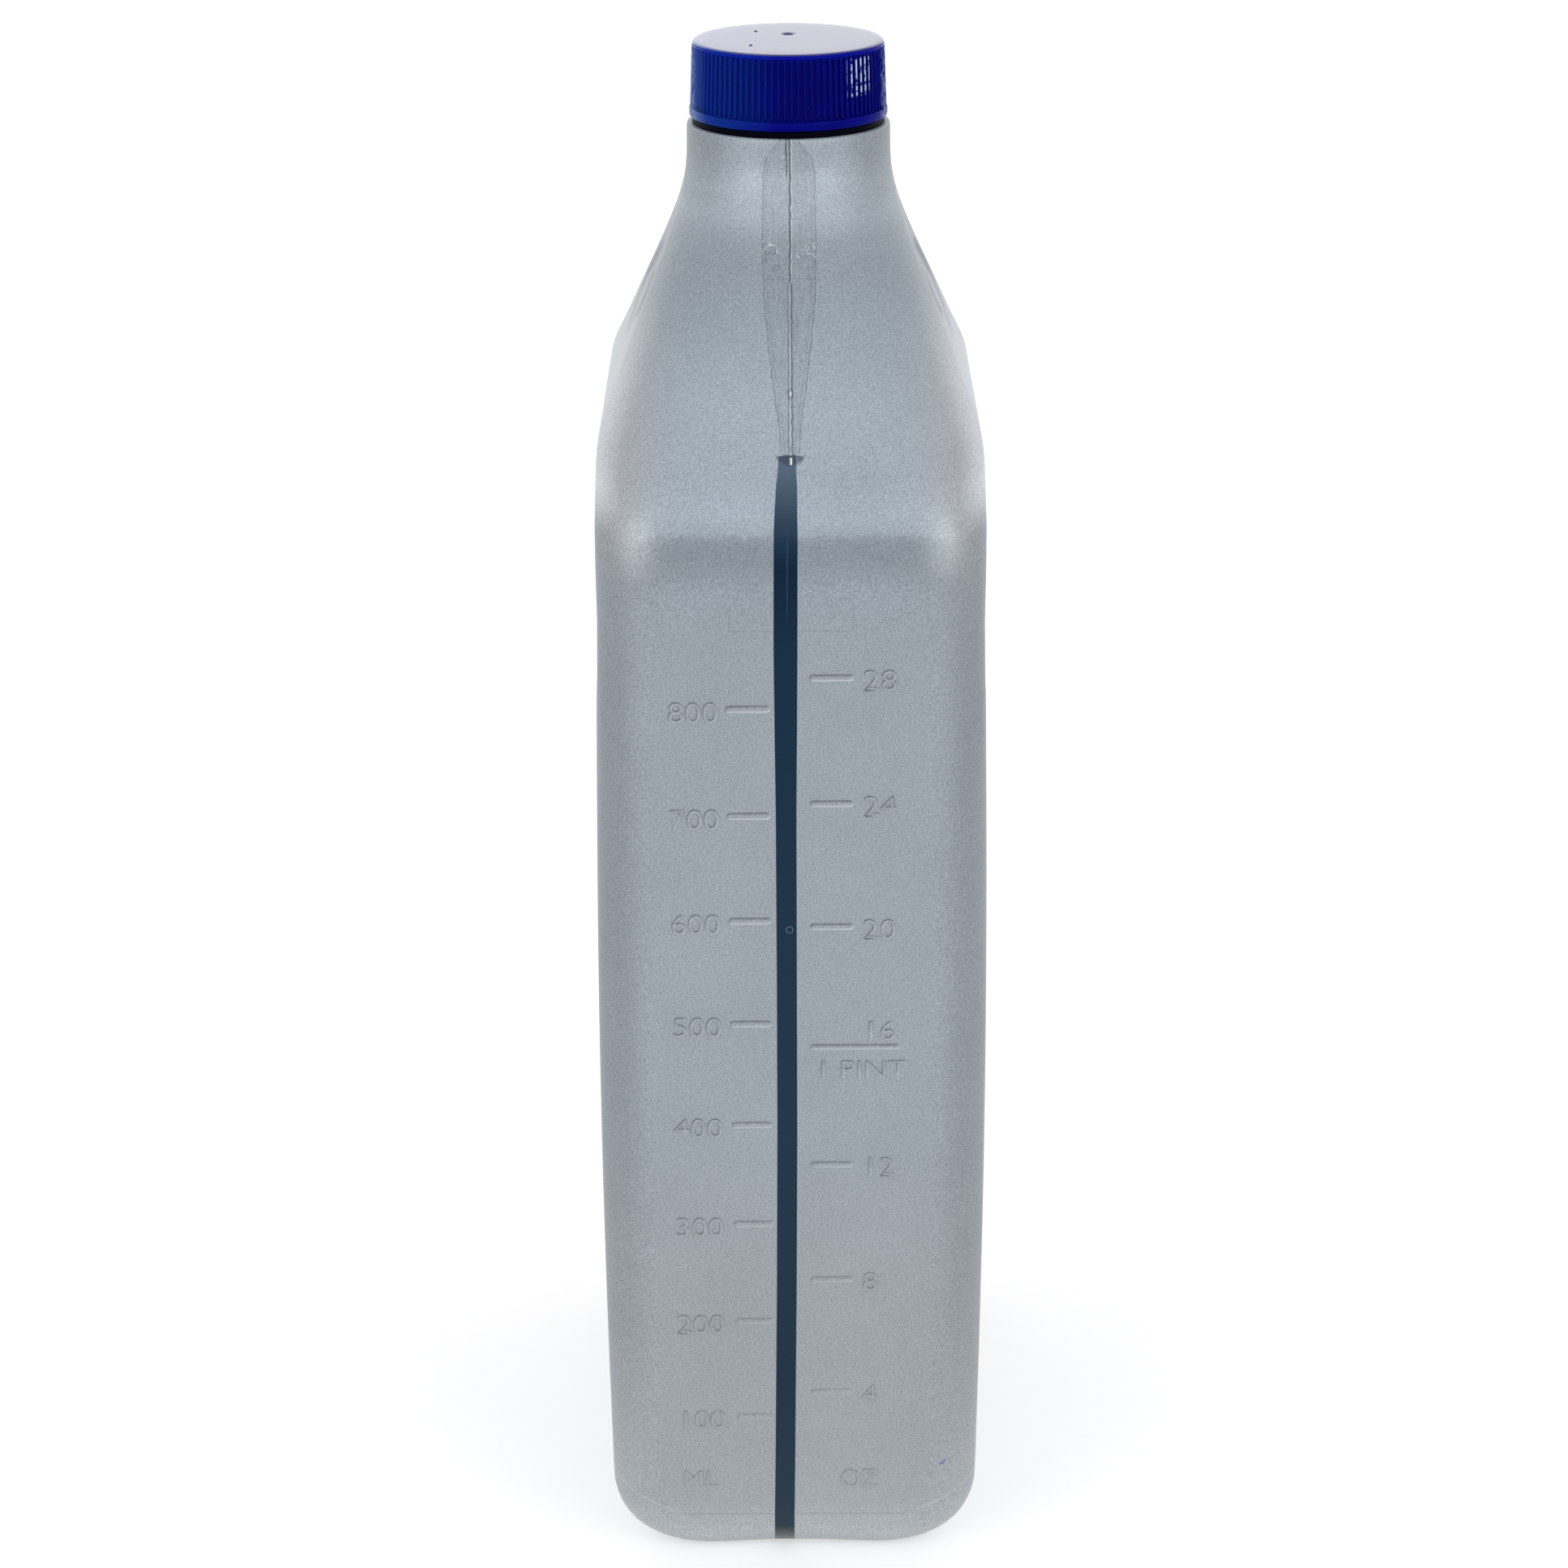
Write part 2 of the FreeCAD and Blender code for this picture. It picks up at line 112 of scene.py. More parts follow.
class BottleSizes(bpy.types.PropertyGroup):
    """Sizes of the blow-moulded shell."""
    half_thickness: FloatProperty(name="Half thickness", description="Middle plane to broad face at the foot",
                                  default=29.9 * MM, unit="LENGTH")
    bulge: FloatProperty(name="Bulge", description="Swelling of each broad face at mid height",
                         default=1.0 * MM, unit="LENGTH")
    wall: FloatProperty(name="Wall", description="Wall thickness", default=1.0 * MM, unit="LENGTH")
    base_round_x: FloatProperty(name="Base rounding, broad", description="Rounding below the broad faces",
                                default=11.2 * MM, unit="LENGTH")
    base_round_y: FloatProperty(name="Base rounding, narrow", description="Rounding below the narrow faces",
                                default=6.0 * MM, unit="LENGTH")
    panel_depth: FloatProperty(name="Panel depth", description="Depth of the oval shoulder panels",
                               default=0.5 * MM, unit="LENGTH")
    ridge: FloatProperty(name="Seam ridge", description="Height of the trimmed seam on the shoulder",
                         default=0.35 * MM, unit="LENGTH")
    mark_proud: FloatProperty(name="Mark height", description="How far the volume marks stand out",
                              default=0.24 * MM, unit="LENGTH")
    digit: FloatProperty(name="Digit height", description="Height of the raised numerals",
                         default=3.4 * MM, unit="LENGTH")


class CapSizes(bpy.types.PropertyGroup):
    """Sizes of the screw cap."""
    ribs: IntProperty(name="Ribs", description="Number of grip ribs round the skirt", default=94, min=12)
    rib_depth: FloatProperty(name="Rib depth", description="How far a rib stands out of the skirt",
                             default=0.3 * MM, unit="LENGTH")
    rib_width: FloatProperty(name="Rib width", description="Width of a rib at the skirt",
                             default=0.46 * MM, unit="LENGTH")
    root_foot: FloatProperty(name="Skirt radius, foot", description="Radius between the ribs at their foot",
                             default=15.1 * MM, unit="LENGTH")
    root_top: FloatProperty(name="Skirt radius, top", description="Radius between the ribs at their top",
                            default=14.75 * MM, unit="LENGTH")
    rib_foot_z: FloatProperty(name="Rib foot", description="Height where the ribs start",
                              default=231.8 * MM, unit="LENGTH")
    rib_top_z: FloatProperty(name="Rib top", description="Height where neighbouring ribs meet in an arch",
                             default=241.3 * MM, unit="LENGTH")


class FinishColours(bpy.types.PropertyGroup):
    """Main colours of the pieces."""
    shell: FloatVectorProperty(name="Shell", description="Silver-grey plastic", subtype="COLOR", size=4,
                               default=linear("#C2CCD5"))
    cap: FloatVectorProperty(name="Cap", description="Blue plastic", subtype="COLOR", size=4,
                             default=linear("#010478"))
    # The band's near-black is painted shade: the blue of the band darkened for the shadow over its gap
    band: FloatVectorProperty(name="Band", description="Dark blue plastic", subtype="COLOR", size=4,
                              default=linear("#02030F"))
    label: FloatVectorProperty(name="Label", description="Ground of the printed film", subtype="COLOR", size=4,
                               default=linear("#B9C1C8"))
    oil: FloatVectorProperty(name="Oil", description="Amber oil", subtype="COLOR", size=4,
                             default=linear("#8A5A1C"))


class StudioSettings(bpy.types.PropertyGroup):
    """Camera and light."""
    lens: FloatProperty(name="Lens", description="Focal length on a 36 mm sensor", default=91.53, subtype="NONE")
    pitch: FloatProperty(name="Pitch", description="How far the camera looks down",
                         default=math.radians(20.3), subtype="ANGLE")
    roll: FloatProperty(name="Roll", description="Turn of the camera about its own axis",
                        default=math.radians(-0.28), subtype="ANGLE")
    distance: FloatProperty(name="Distance", description="Camera to the middle of the narrow face",
                            default=0.614, unit="LENGTH")
    target_z: FloatProperty(name="Target height", description="Height that the camera looks at",
                            default=0.1363, unit="LENGTH")
    side: FloatProperty(name="Side step", description="Camera's place left or right of the middle plane",
                        default=-1.2 * MM, unit="LENGTH")
    key: FloatProperty(name="Key light", description="Power of each front lamp", default=3.6, unit="POWER")
    back: FloatProperty(name="Back light", description="Power of the wide lamp behind", default=7.5, unit="POWER")
    top: FloatProperty(name="Top light", description="Power of the lamp above", default=0.8, unit="POWER")
    ambient: FloatProperty(name="Sky", description="Strength of the sky half way up", default=1.05)


def add_node(tree, kind, inputs=(), output=0, **settings):
    """Add a node, set it up, link or fill its inputs, and return one of its outputs."""
    node = tree.nodes.new(kind)
    for name, value in settings.items():
        setattr(node, name, value)
    pairs = inputs.items() if isinstance(inputs, dict) else enumerate(inputs)
    for key, value in pairs:
        if isinstance(value, bpy.types.NodeSocket):
            tree.links.new(value, node.inputs[key])
        elif value is not None:
            node.inputs[key].default_value = value
    return node.outputs[output] if len(node.outputs) else node


def new_material(name):
    """Empty node material with a Principled shader; returns the material, its tree and the shader node."""
    material = bpy.data.materials.new(name)
    material.use_nodes = True
    tree = material.node_tree
    return material, tree, tree.nodes["Principled BSDF"]


def millimetres(tree):
    """Object coordinates in millimetres: the vector and its three parts."""
    place = add_node(tree, "ShaderNodeTexCoord", output="Object")
    place = add_node(tree, "ShaderNodeVectorMath", {0: place, "Scale": 1 / MM}, operation="SCALE")
    parts = add_node(tree, "ShaderNodeSeparateXYZ", [place]).node.outputs
    return place, parts[0], parts[1], parts[2]


def set_ramp(socket, stops, interpolation="LINEAR"):
    """Fill a colour ramp with stops of position and colour or grey."""
    ramp = socket.node.color_ramp
    ramp.interpolation = interpolation
    while len(ramp.elements) < len(stops):
        ramp.elements.new(0.5)
    for element, (position, colour) in zip(ramp.elements, stops):
        element.position = position
        element.color = linear(colour) if isinstance(colour, str) else (colour, colour, colour, 1.0)
    return socket


def line_at(tree, value, centre, half, fade):
    """Mask of a fine line where a value passes its centre: 1 within half, 0 beyond half and fade."""
    away = add_node(tree, "ShaderNodeMath", [value, centre], operation="SUBTRACT")
    away = add_node(tree, "ShaderNodeMath", [away], operation="ABSOLUTE")
    return add_node(tree, "ShaderNodeMapRange", [away, half, half + fade, 1.0, 0.0])


def shell_painted_light(tree, across, z, tall, ragged):
    """Painted light and shade on the plastic, as a factor: painted highlights at the foot and its corners, on the
    shoulder edge and its corners and round the neck; painted shade in a band under the shoulder, over the sides
    of the filled part and on the sides of the neck; and a painted glow at the edges of the empty part, as if lit
    through."""
    # Painted light and shade by height: a painted highlight at the foot and on the shoulder edge and round the neck,
    # painted shade just under the shoulder edge and where the neck meets the slope
    painted_tone = set_ramp(add_node(tree, "ShaderNodeValToRGB", [tall]),
                    [(0.0, 1.25), (0.013, 1.12), (0.024, 0.90), (0.042, 0.77), (0.085, 0.73), (0.19, 0.69),
                     (0.43, 0.675), (0.64, 0.645), (0.684, 0.625), (0.719, 0.60), (0.738, 0.72), (0.755, 0.67),
                     (0.80, 0.69), (0.843, 0.62), (0.874, 0.57), (0.886, 0.59), (0.90, 0.79), (0.913, 0.83),
                     (0.935, 0.69), (0.95, 0.68)])
    # Painted shade: a ragged dark band just under the shoulder edge, over the middle of the narrow faces
    bend = add_node(tree, "ShaderNodeMapRange", [z, 167.0, 172.0, 0.0, 0.10])
    ripple = add_node(tree, "ShaderNodeMath", [ragged, 2.4, z], operation="MULTIPLY_ADD")
    bend_end = add_node(tree, "ShaderNodeMapRange", [ripple, 176.4, 177.2, 1.0, 0.0])
    bend_side = add_node(tree, "ShaderNodeMapRange", [across, 20.0, 23.5, 1.0, 0.0])
    bend = add_node(tree, "ShaderNodeMath", [bend, bend_end], operation="MULTIPLY")
    bend = add_node(tree, "ShaderNodeMath", [bend, bend_side], operation="MULTIPLY")
    painted_tone = add_node(tree, "ShaderNodeMath", [painted_tone, bend], operation="SUBTRACT")
    # Painted shade over the sides of the filled lower part, weaker towards the foot
    filled = add_node(tree, "ShaderNodeMapRange", [z, 155.0, 178.0, 0.11, 0.0])
    lower = add_node(tree, "ShaderNodeMapRange", [z, 15.0, 90.0, 0.2, 1.0])
    painted_side_shade = add_node(tree, "ShaderNodeMapRange", [across, 22.0, 27.0, 0.0, 1.0],
                    interpolation_type="SMOOTHSTEP")
    painted_side_shade = add_node(tree, "ShaderNodeMath", [painted_side_shade, filled], operation="MULTIPLY")
    painted_side_shade = add_node(tree, "ShaderNodeMath", [painted_side_shade, lower], operation="MULTIPLY")
    painted_tone = add_node(tree, "ShaderNodeMath", [painted_tone, painted_side_shade], operation="SUBTRACT")
    # Painted highlight along the side edges of the empty upper part, as if lit through the wall
    rise = add_node(tree, "ShaderNodeMapRange", [z, 176.0, 229.0, 0.0, 1.0])
    reach = set_ramp(add_node(tree, "ShaderNodeValToRGB", [rise]),
                     [(0.0, 1.0), (0.19, 0.99), (0.34, 0.887), (0.49, 0.777), (0.64, 0.663), (0.755, 0.59),
                      (0.868, 0.543), (1.0, 0.535)])
    reach = add_node(tree, "ShaderNodeMath", [reach, 30.0], operation="MULTIPLY")
    reach = add_node(tree, "ShaderNodeMath", [across, reach], operation="DIVIDE")
    edge = add_node(tree, "ShaderNodeMapRange", [reach, 0.84, 1.0, 0.0, 1.0], interpolation_type="SMOOTHSTEP")
    empty = add_node(tree, "ShaderNodeMapRange", [z, 175.0, 181.0, 0.0, 0.66])
    empty_end = add_node(tree, "ShaderNodeMapRange", [z, 181.0, 206.0, 1.0, 0.0])
    edge = add_node(tree, "ShaderNodeMath", [edge, empty], operation="MULTIPLY")
    edge = add_node(tree, "ShaderNodeMath", [edge, empty_end], operation="MULTIPLY")
    # Painted highlights on the shoulder corners
    spot_x = line_at(tree, across, 23.3, 0.7, 4.6)
    spot_z = line_at(tree, z, 173.9, 1.0, 5.0)
    spot = add_node(tree, "ShaderNodeMath", [spot_x, spot_z], operation="MULTIPLY")
    spot = add_node(tree, "ShaderNodeMapRange", [spot, 0.0, 1.0, 0.0, 0.27], interpolation_type="SMOOTHSTEP")
    edge = add_node(tree, "ShaderNodeMath", [spot, edge], operation="ADD")
    # Painted light on the corners of the foot
    foot = add_node(tree, "ShaderNodeMapRange", [z, 8.0, 40.0, 0.17, 0.0])
    foot_light_side = add_node(tree, "ShaderNodeMapRange", [across, 21.5, 27.0, 0.0, 1.0])
    edge = add_node(tree, "ShaderNodeMath", [foot, foot_light_side, edge], operation="MULTIPLY_ADD")
    # Painted shade on the sides from the top of the slope up over the neck
    neck = add_node(tree, "ShaderNodeMapRange", [z, 214.0, 220.0, 0.0, 0.2])
    neck_shade_side = add_node(tree, "ShaderNodeMapRange", [across, 7.5, 12.0, 0.0, 1.0])
    neck = add_node(tree, "ShaderNodeMath", [neck, neck_shade_side], operation="MULTIPLY")
    edge = add_node(tree, "ShaderNodeMath", [edge, neck], operation="SUBTRACT")
    edge = add_node(tree, "ShaderNodeMath", [edge, 1.0], operation="ADD")
    return add_node(tree, "ShaderNodeMath", [painted_tone, edge], operation="MULTIPLY")


def view_stripe(tree, x, y, z, tall):
    """Mask of the view stripe: its middle wanders, because it is drawn with the tube and not by the mould."""
    middle = set_ramp(add_node(tree, "ShaderNodeValToRGB", [tall]),
                      [(0.03, 0.97), (0.075, 0.854), (0.2, 0.581), (0.32, 0.415), (0.43, 0.388), (0.545, 0.385),
                       (0.652, 0.369), (0.706, 0.315), (0.735, 0.269), (0.753, 0.154), (0.765, 0.07)])
    middle = add_node(tree, "ShaderNodeMath", [middle, -1.3, -0.4], operation="MULTIPLY_ADD")
    half = set_ramp(add_node(tree, "ShaderNodeValToRGB", [tall]),
                    [(0.03, 0.81), (0.43, 0.785), (0.545, 0.80), (0.60, 0.86), (0.65, 0.905), (0.725, 0.90),
                     (0.735, 0.87), (0.753, 0.80), (0.762, 0.69), (0.77, 0.66)])
    half = add_node(tree, "ShaderNodeMath", [half, 2.0], operation="MULTIPLY")
    aside = add_node(tree, "ShaderNodeMath", [x, middle], operation="SUBTRACT")
    away = add_node(tree, "ShaderNodeMath", [aside], operation="ABSOLUTE")
    away = add_node(tree, "ShaderNodeMath", [away, half], operation="SUBTRACT")
    stripe = add_node(tree, "ShaderNodeMapRange", [away, -0.05, 0.07, 1.0, 0.0])

    # Its top ends under an eye-shaped crease, the lower edge of the pinch-off
    bow = add_node(tree, "ShaderNodeMath", [x, x], operation="MULTIPLY")
    tip = add_node(tree, "ShaderNodeMath", [x], operation="ABSOLUTE")
    tip = add_node(tree, "ShaderNodeMapRange", [tip, 1.9, 2.8, 0.0, 0.9])
    lid_z = add_node(tree, "ShaderNodeMath", [z, tip], operation="SUBTRACT")
    lid_top = add_node(tree, "ShaderNodeMath", [bow, -0.06, 186.65], operation="MULTIPLY_ADD")
    lid_top = add_node(tree, "ShaderNodeMath", [lid_top, lid_z], operation="SUBTRACT")
    stripe_end = add_node(tree, "ShaderNodeMapRange", [lid_top, -0.06, 0.1, 0.0, 1.0])
    lid_foot = add_node(tree, "ShaderNodeMath", [bow, -0.21, -185.1], operation="MULTIPLY_ADD")
    lid_foot = add_node(tree, "ShaderNodeMath", [lid_foot, lid_z], operation="ADD")
    lid_foot = add_node(tree, "ShaderNodeMapRange", [lid_foot, -0.2, 0.35, 0.0, 1.0])
    lid = add_node(tree, "ShaderNodeMath", [stripe_end, lid_foot], operation="MULTIPLY")
    stripe_foot = add_node(tree, "ShaderNodeMapRange", [z, 0.5, 5.5, 0.5, 1.0])
    front = add_node(tree, "ShaderNodeMath", [y, -38.0], operation="LESS_THAN")
    stripe = add_node(tree, "ShaderNodeMath", [stripe, stripe_end], operation="MULTIPLY")
    stripe = add_node(tree, "ShaderNodeMath", [stripe, stripe_foot], operation="MULTIPLY")
    lid = add_node(tree, "ShaderNodeMath", [lid, front], operation="MULTIPLY")
    return add_node(tree, "ShaderNodeMath", [stripe, front], operation="MULTIPLY"), aside, lid


def shell_material(colours):
    """Polyethylene with aluminium flake, blow-moulded: satin silver grey with a fine sparkle, darker at its
    pinch-off lines, and a smooth dark view stripe through which the oil shows; painted light and shade lie over it,
    with painted highlights and painted shade on the seam, its creases and the raised marks."""
    material, tree, shader = new_material("flake_polyethylene")
    place, x, y, z = millimetres(tree)
    tall = add_node(tree, "ShaderNodeMath", [z, 1 / 242.2], operation="MULTIPLY")
    front = add_node(tree, "ShaderNodeMath", [y, -38.0], operation="LESS_THAN")
    across = add_node(tree, "ShaderNodeMath", [x], operation="ABSOLUTE")
    ragged = add_node(tree, "ShaderNodeTexNoise", {"Vector": place, "Scale": 0.8, "Detail": 4.0})
    painted_tone = shell_painted_light(tree, across, z, tall, ragged)
    grain = add_node(tree, "ShaderNodeTexNoise", {"Vector": place, "Scale": 3.8, "Detail": 3.0,
                                                   "Roughness": 0.7})
    speckle = add_node(tree, "ShaderNodeMapRange", [grain, 0.3, 0.7, 0.69, 1.31])
    cloud = add_node(tree, "ShaderNodeTexNoise", {"Vector": place, "Scale": 0.06, "Detail": 2.0})
    cloud = add_node(tree, "ShaderNodeMapRange", [cloud, 0.3, 0.7, 0.97, 1.03])
    shade = add_node(tree, "ShaderNodeMath", [speckle, cloud], operation="MULTIPLY")
    plastic = add_node(tree, "ShaderNodeVectorMath", {0: tuple(colours.shell)[:3], "Scale": painted_tone},
                       operation="SCALE")
    plastic = add_node(tree, "ShaderNodeVectorMath", {0: plastic, "Scale": shade}, operation="SCALE")
    warm = add_node(tree, "ShaderNodeMapRange", [z, 5.0, 75.0, 1.0, 0.0])
    warmer = add_node(tree, "ShaderNodeVectorMath", [plastic, (1.0, 0.95, 0.90)], operation="MULTIPLY")
    plastic = add_node(tree, "ShaderNodeMix", {0: warm, 6: plastic, 7: warmer}, output=2, data_type="RGBA")
    # Painted highlight tint: warmer and paler at the shoulder corners, where the painted highlights lie
    pale_side = add_node(tree, "ShaderNodeMapRange", [across, 19.0, 25.0, 0.0, 1.0])
    pale_foot = add_node(tree, "ShaderNodeMapRange", [z, 167.0, 176.0, 0.0, 1.0])
    pale_side = add_node(tree, "ShaderNodeMath", [pale_side, pale_foot], operation="MULTIPLY")
    paler = add_node(tree, "ShaderNodeVectorMath", [plastic, (1.06, 1.0, 0.965)], operation="MULTIPLY")
    plastic = add_node(tree, "ShaderNodeMix", {0: pale_side, 6: plastic, 7: paler}, output=2,
                       data_type="RGBA")
    cool = add_node(tree, "ShaderNodeMapRange", [z, 160.0, 180.0, 0.0, 1.0])
    cool_side = add_node(tree, "ShaderNodeMapRange", [across, 14.0, 24.0, 1.0, 0.0])
    cool_top = add_node(tree, "ShaderNodeMapRange", [z, 208.0, 218.0, 1.0, 0.15])
    cool = add_node(tree, "ShaderNodeMath", [cool, cool_side], operation="MULTIPLY")
    cool = add_node(tree, "ShaderNodeMath", [cool, cool_top], operation="MULTIPLY")
    cooler = add_node(tree, "ShaderNodeVectorMath", [plastic, (0.955, 0.985, 1.025)], operation="MULTIPLY")
    plastic = add_node(tree, "ShaderNodeMix", {0: cool, 6: plastic, 7: cooler}, output=2, data_type="RGBA")

    # Pinch-off area: a lens-shaped field round the seam, a little darker, with a fine outline
    lens = [(0.0, 0.30), (0.034, 0.32), (0.12, 0.38), (0.2, 0.52), (0.315, 0.70), (0.48, 0.905), (0.62, 0.985),
            (0.876, 0.95), (0.935, 0.83), (0.985, 0.42), (1.0, 0.3)]
    rise = add_node(tree, "ShaderNodeMapRange", [z, 185.0, 229.5, 0.0, 1.0])
    half = set_ramp(add_node(tree, "ShaderNodeValToRGB", [rise]), lens)
    half = add_node(tree, "ShaderNodeMath", [half, 4.2], operation="MULTIPLY")
    wobble = add_node(tree, "ShaderNodeTexNoise", {"Vector": place, "Scale": 0.5, "Detail": 2.0})
    edge = add_node(tree, "ShaderNodeMath", [across, half], operation="SUBTRACT")
    edge = add_node(tree, "ShaderNodeMath", [wobble, 0.6, edge], operation="MULTIPLY_ADD")
    edge = add_node(tree, "ShaderNodeMath", [edge, 0.3], operation="SUBTRACT")
    above = add_node(tree, "ShaderNodeMapRange", [z, 186.2, 187.0, 0.0, 1.0])
    inside = add_node(tree, "ShaderNodeMapRange", [edge, -0.1, 0.1, 1.0, 0.0])
    inside = add_node(tree, "ShaderNodeMath", [inside, above], operation="MULTIPLY")
    outer_line = line_at(tree, edge, 0.0, 0.04, 0.09)
    inner_line = line_at(tree, edge, -0.55, 0.02, 0.08)
    outer_line = add_node(tree, "ShaderNodeMath", [inner_line, 0.5, outer_line], operation="MULTIPLY_ADD")
    outer_line = add_node(tree, "ShaderNodeMath", [outer_line, above], operation="MULTIPLY")
    streaks = add_node(tree, "ShaderNodeMapping", {"Vector": place, "Scale": (1.0, 0.12, 0.12)})
    streaks = add_node(tree, "ShaderNodeTexNoise", {"Vector": streaks, "Scale": 2.2, "Detail": 3.0})
    streaks = add_node(tree, "ShaderNodeMapRange", [streaks, 0.35, 0.7, 0.0, 1.0])

    # Seam: two rough dark lines at the top, one below them, and beside them a painted highlight line; then a trimmed
    # ridge with a painted highlight on it and painted shade along its sides
    seam_x = add_node(tree, "ShaderNodeMath", [ragged, 0.5, x], operation="MULTIPLY_ADD")
    seam_x = add_node(tree, "ShaderNodeMath", [seam_x, 0.25], operation="SUBTRACT")
    top_part = add_node(tree, "ShaderNodeMapRange", [z, 223.3, 224.3, 0.0, 1.0])
    upper = add_node(tree, "ShaderNodeMapRange", [z, 209.4, 210.0, 0.0, 1.0])
    first = line_at(tree, seam_x, -0.38, 0.05, 0.12)
    first = add_node(tree, "ShaderNodeMath", [first, top_part], operation="MULTIPLY")
    second = line_at(tree, seam_x, 0.12, 0.06, 0.12)
    second = add_node(tree, "ShaderNodeMath", [second, upper], operation="MULTIPLY")
    pair = add_node(tree, "ShaderNodeMath", [first, second], operation="MAXIMUM")
    gleam = line_at(tree, seam_x, 0.38, 0.05, 0.1)
    gleam = add_node(tree, "ShaderNodeMath", [gleam, upper], operation="MULTIPLY")
    trim = add_node(tree, "ShaderNodeMapRange", [z, 185.3, 185.6, 0.0, 1.0])
    lower = add_node(tree, "ShaderNodeMath", [trim, upper], operation="SUBTRACT")
    ridge = line_at(tree, seam_x, 0.06, 0.04, 0.10)
    broken = add_node(tree, "ShaderNodeMapRange", [wobble, 0.35, 0.6, 1.0, 0.25])
    ridge = add_node(tree, "ShaderNodeMath", [ridge, broken], operation="MULTIPLY")
    ridge = add_node(tree, "ShaderNodeMath", [ridge, lower], operation="MULTIPLY")
    shadow = line_at(tree, seam_x, 0.33, 0.08, 0.12)
    shade_left = line_at(tree, seam_x, -0.2, 0.04, 0.12)
    shadow = add_node(tree, "ShaderNodeMath", [shade_left, 0.6, shadow], operation="MULTIPLY_ADD")
    shadow = add_node(tree, "ShaderNodeMath", [shadow, lower], operation="MULTIPLY")

    # Creases across the top of the pinch-off area, where the soft tube folded: painted shade in the creases and a
    # painted highlight along the upper one
    fold_z = add_node(tree, "ShaderNodeMath", [wobble, 5.0, z], operation="MULTIPLY_ADD")
    fold_z = add_node(tree, "ShaderNodeMath", [ragged, 2.0, fold_z], operation="MULTIPLY_ADD")
    fold_one = line_at(tree, fold_z, 217.2, 0.05, 0.16)
    fold_two = line_at(tree, fold_z, 216.0, 0.04, 0.14)
    folds = add_node(tree, "ShaderNodeMath", [fold_one, fold_two], operation="MAXIMUM")
    fold_ends = add_node(tree, "ShaderNodeMapRange", [across, 0.9, 1.3, 0.0, 1.0])
    folds = add_node(tree, "ShaderNodeMath", [folds, fold_ends], operation="MULTIPLY")
    folds = add_node(tree, "ShaderNodeMath", [folds, inside], operation="MULTIPLY")
    fold_gleam = line_at(tree, fold_z, 217.45, 0.04, 0.12)
    fold_gleam = add_node(tree, "ShaderNodeMath", [fold_gleam, fold_ends], operation="MULTIPLY")
    fold_gleam = add_node(tree, "ShaderNodeMath", [fold_gleam, inside], operation="MULTIPLY")

    # A small torn knot on the ridge
    knot = add_node(tree, "ShaderNodeCombineXYZ", [x, 0.0, z])
    knot = add_node(tree, "ShaderNodeVectorMath", [knot, (0.1, 0.0, 194.9)], operation="SUBTRACT")
    knot = add_node(tree, "ShaderNodeVectorMath", [knot, (1.0, 0.0, 0.6)], operation="MULTIPLY")
    knot = add_node(tree, "ShaderNodeVectorMath", [knot], output="Value", operation="LENGTH")
    knot_rim = line_at(tree, knot, 0.38, 0.05, 0.1)
    knot = add_node(tree, "ShaderNodeMapRange", [knot, 0.16, 0.28, 0.55, 0.0])

    # Fine mould lines: the shoulder insert, the base insert, the line across the seam
    climb = add_node(tree, "ShaderNodeMath", [across, 18.0], operation="SUBTRACT")
    climb = add_node(tree, "ShaderNodeMath", [climb, 0.0], operation="MAXIMUM")
    climb = add_node(tree, "ShaderNodeMath", [climb, -0.4, z], operation="MULTIPLY_ADD")
    base_line = line_at(tree, climb, 7.8, 0.05, 0.1)
    # Painted highlight on the base line where it turns onto the sides
    base_turn = add_node(tree, "ShaderNodeMapRange", [across, 18.0, 21.0, 0.0, 0.35])
    base_gleam = add_node(tree, "ShaderNodeMath", [base_line, base_turn], operation="MULTIPLY")
    base_turn = add_node(tree, "ShaderNodeMapRange", [across, 18.0, 21.0, 0.2, 0.0])
    base_line = add_node(tree, "ShaderNodeMath", [base_line, base_turn], operation="MULTIPLY")
    insert_x = add_node(tree, "ShaderNodeMath", [across, 9.4], operation="SUBTRACT")
    insert_z = add_node(tree, "ShaderNodeMath", [z, 168.3], operation="SUBTRACT")
    insert_z = add_node(tree, "ShaderNodeMath", [insert_z], operation="ABSOLUTE")
    insert_z = add_node(tree, "ShaderNodeMath", [insert_z, 7.3], operation="SUBTRACT")
    insert = add_node(tree, "ShaderNodeMath", [insert_x, insert_z], operation="MAXIMUM")
    insert = line_at(tree, insert, 0.0, 0.04, 0.09)
    insert_side = add_node(tree, "ShaderNodeMapRange", [z, 165.0, 166.5, 1.0, 0.0])
    insert = add_node(tree, "ShaderNodeMath", [insert, insert_side], operation="MULTIPLY")
    insert = add_node(tree, "ShaderNodeMath", [insert, front], operation="MULTIPLY")
    cross = line_at(tree, z, 210.2, 0.04, 0.1)
    cross = add_node(tree, "ShaderNodeMath", [cross, inside], operation="MULTIPLY")

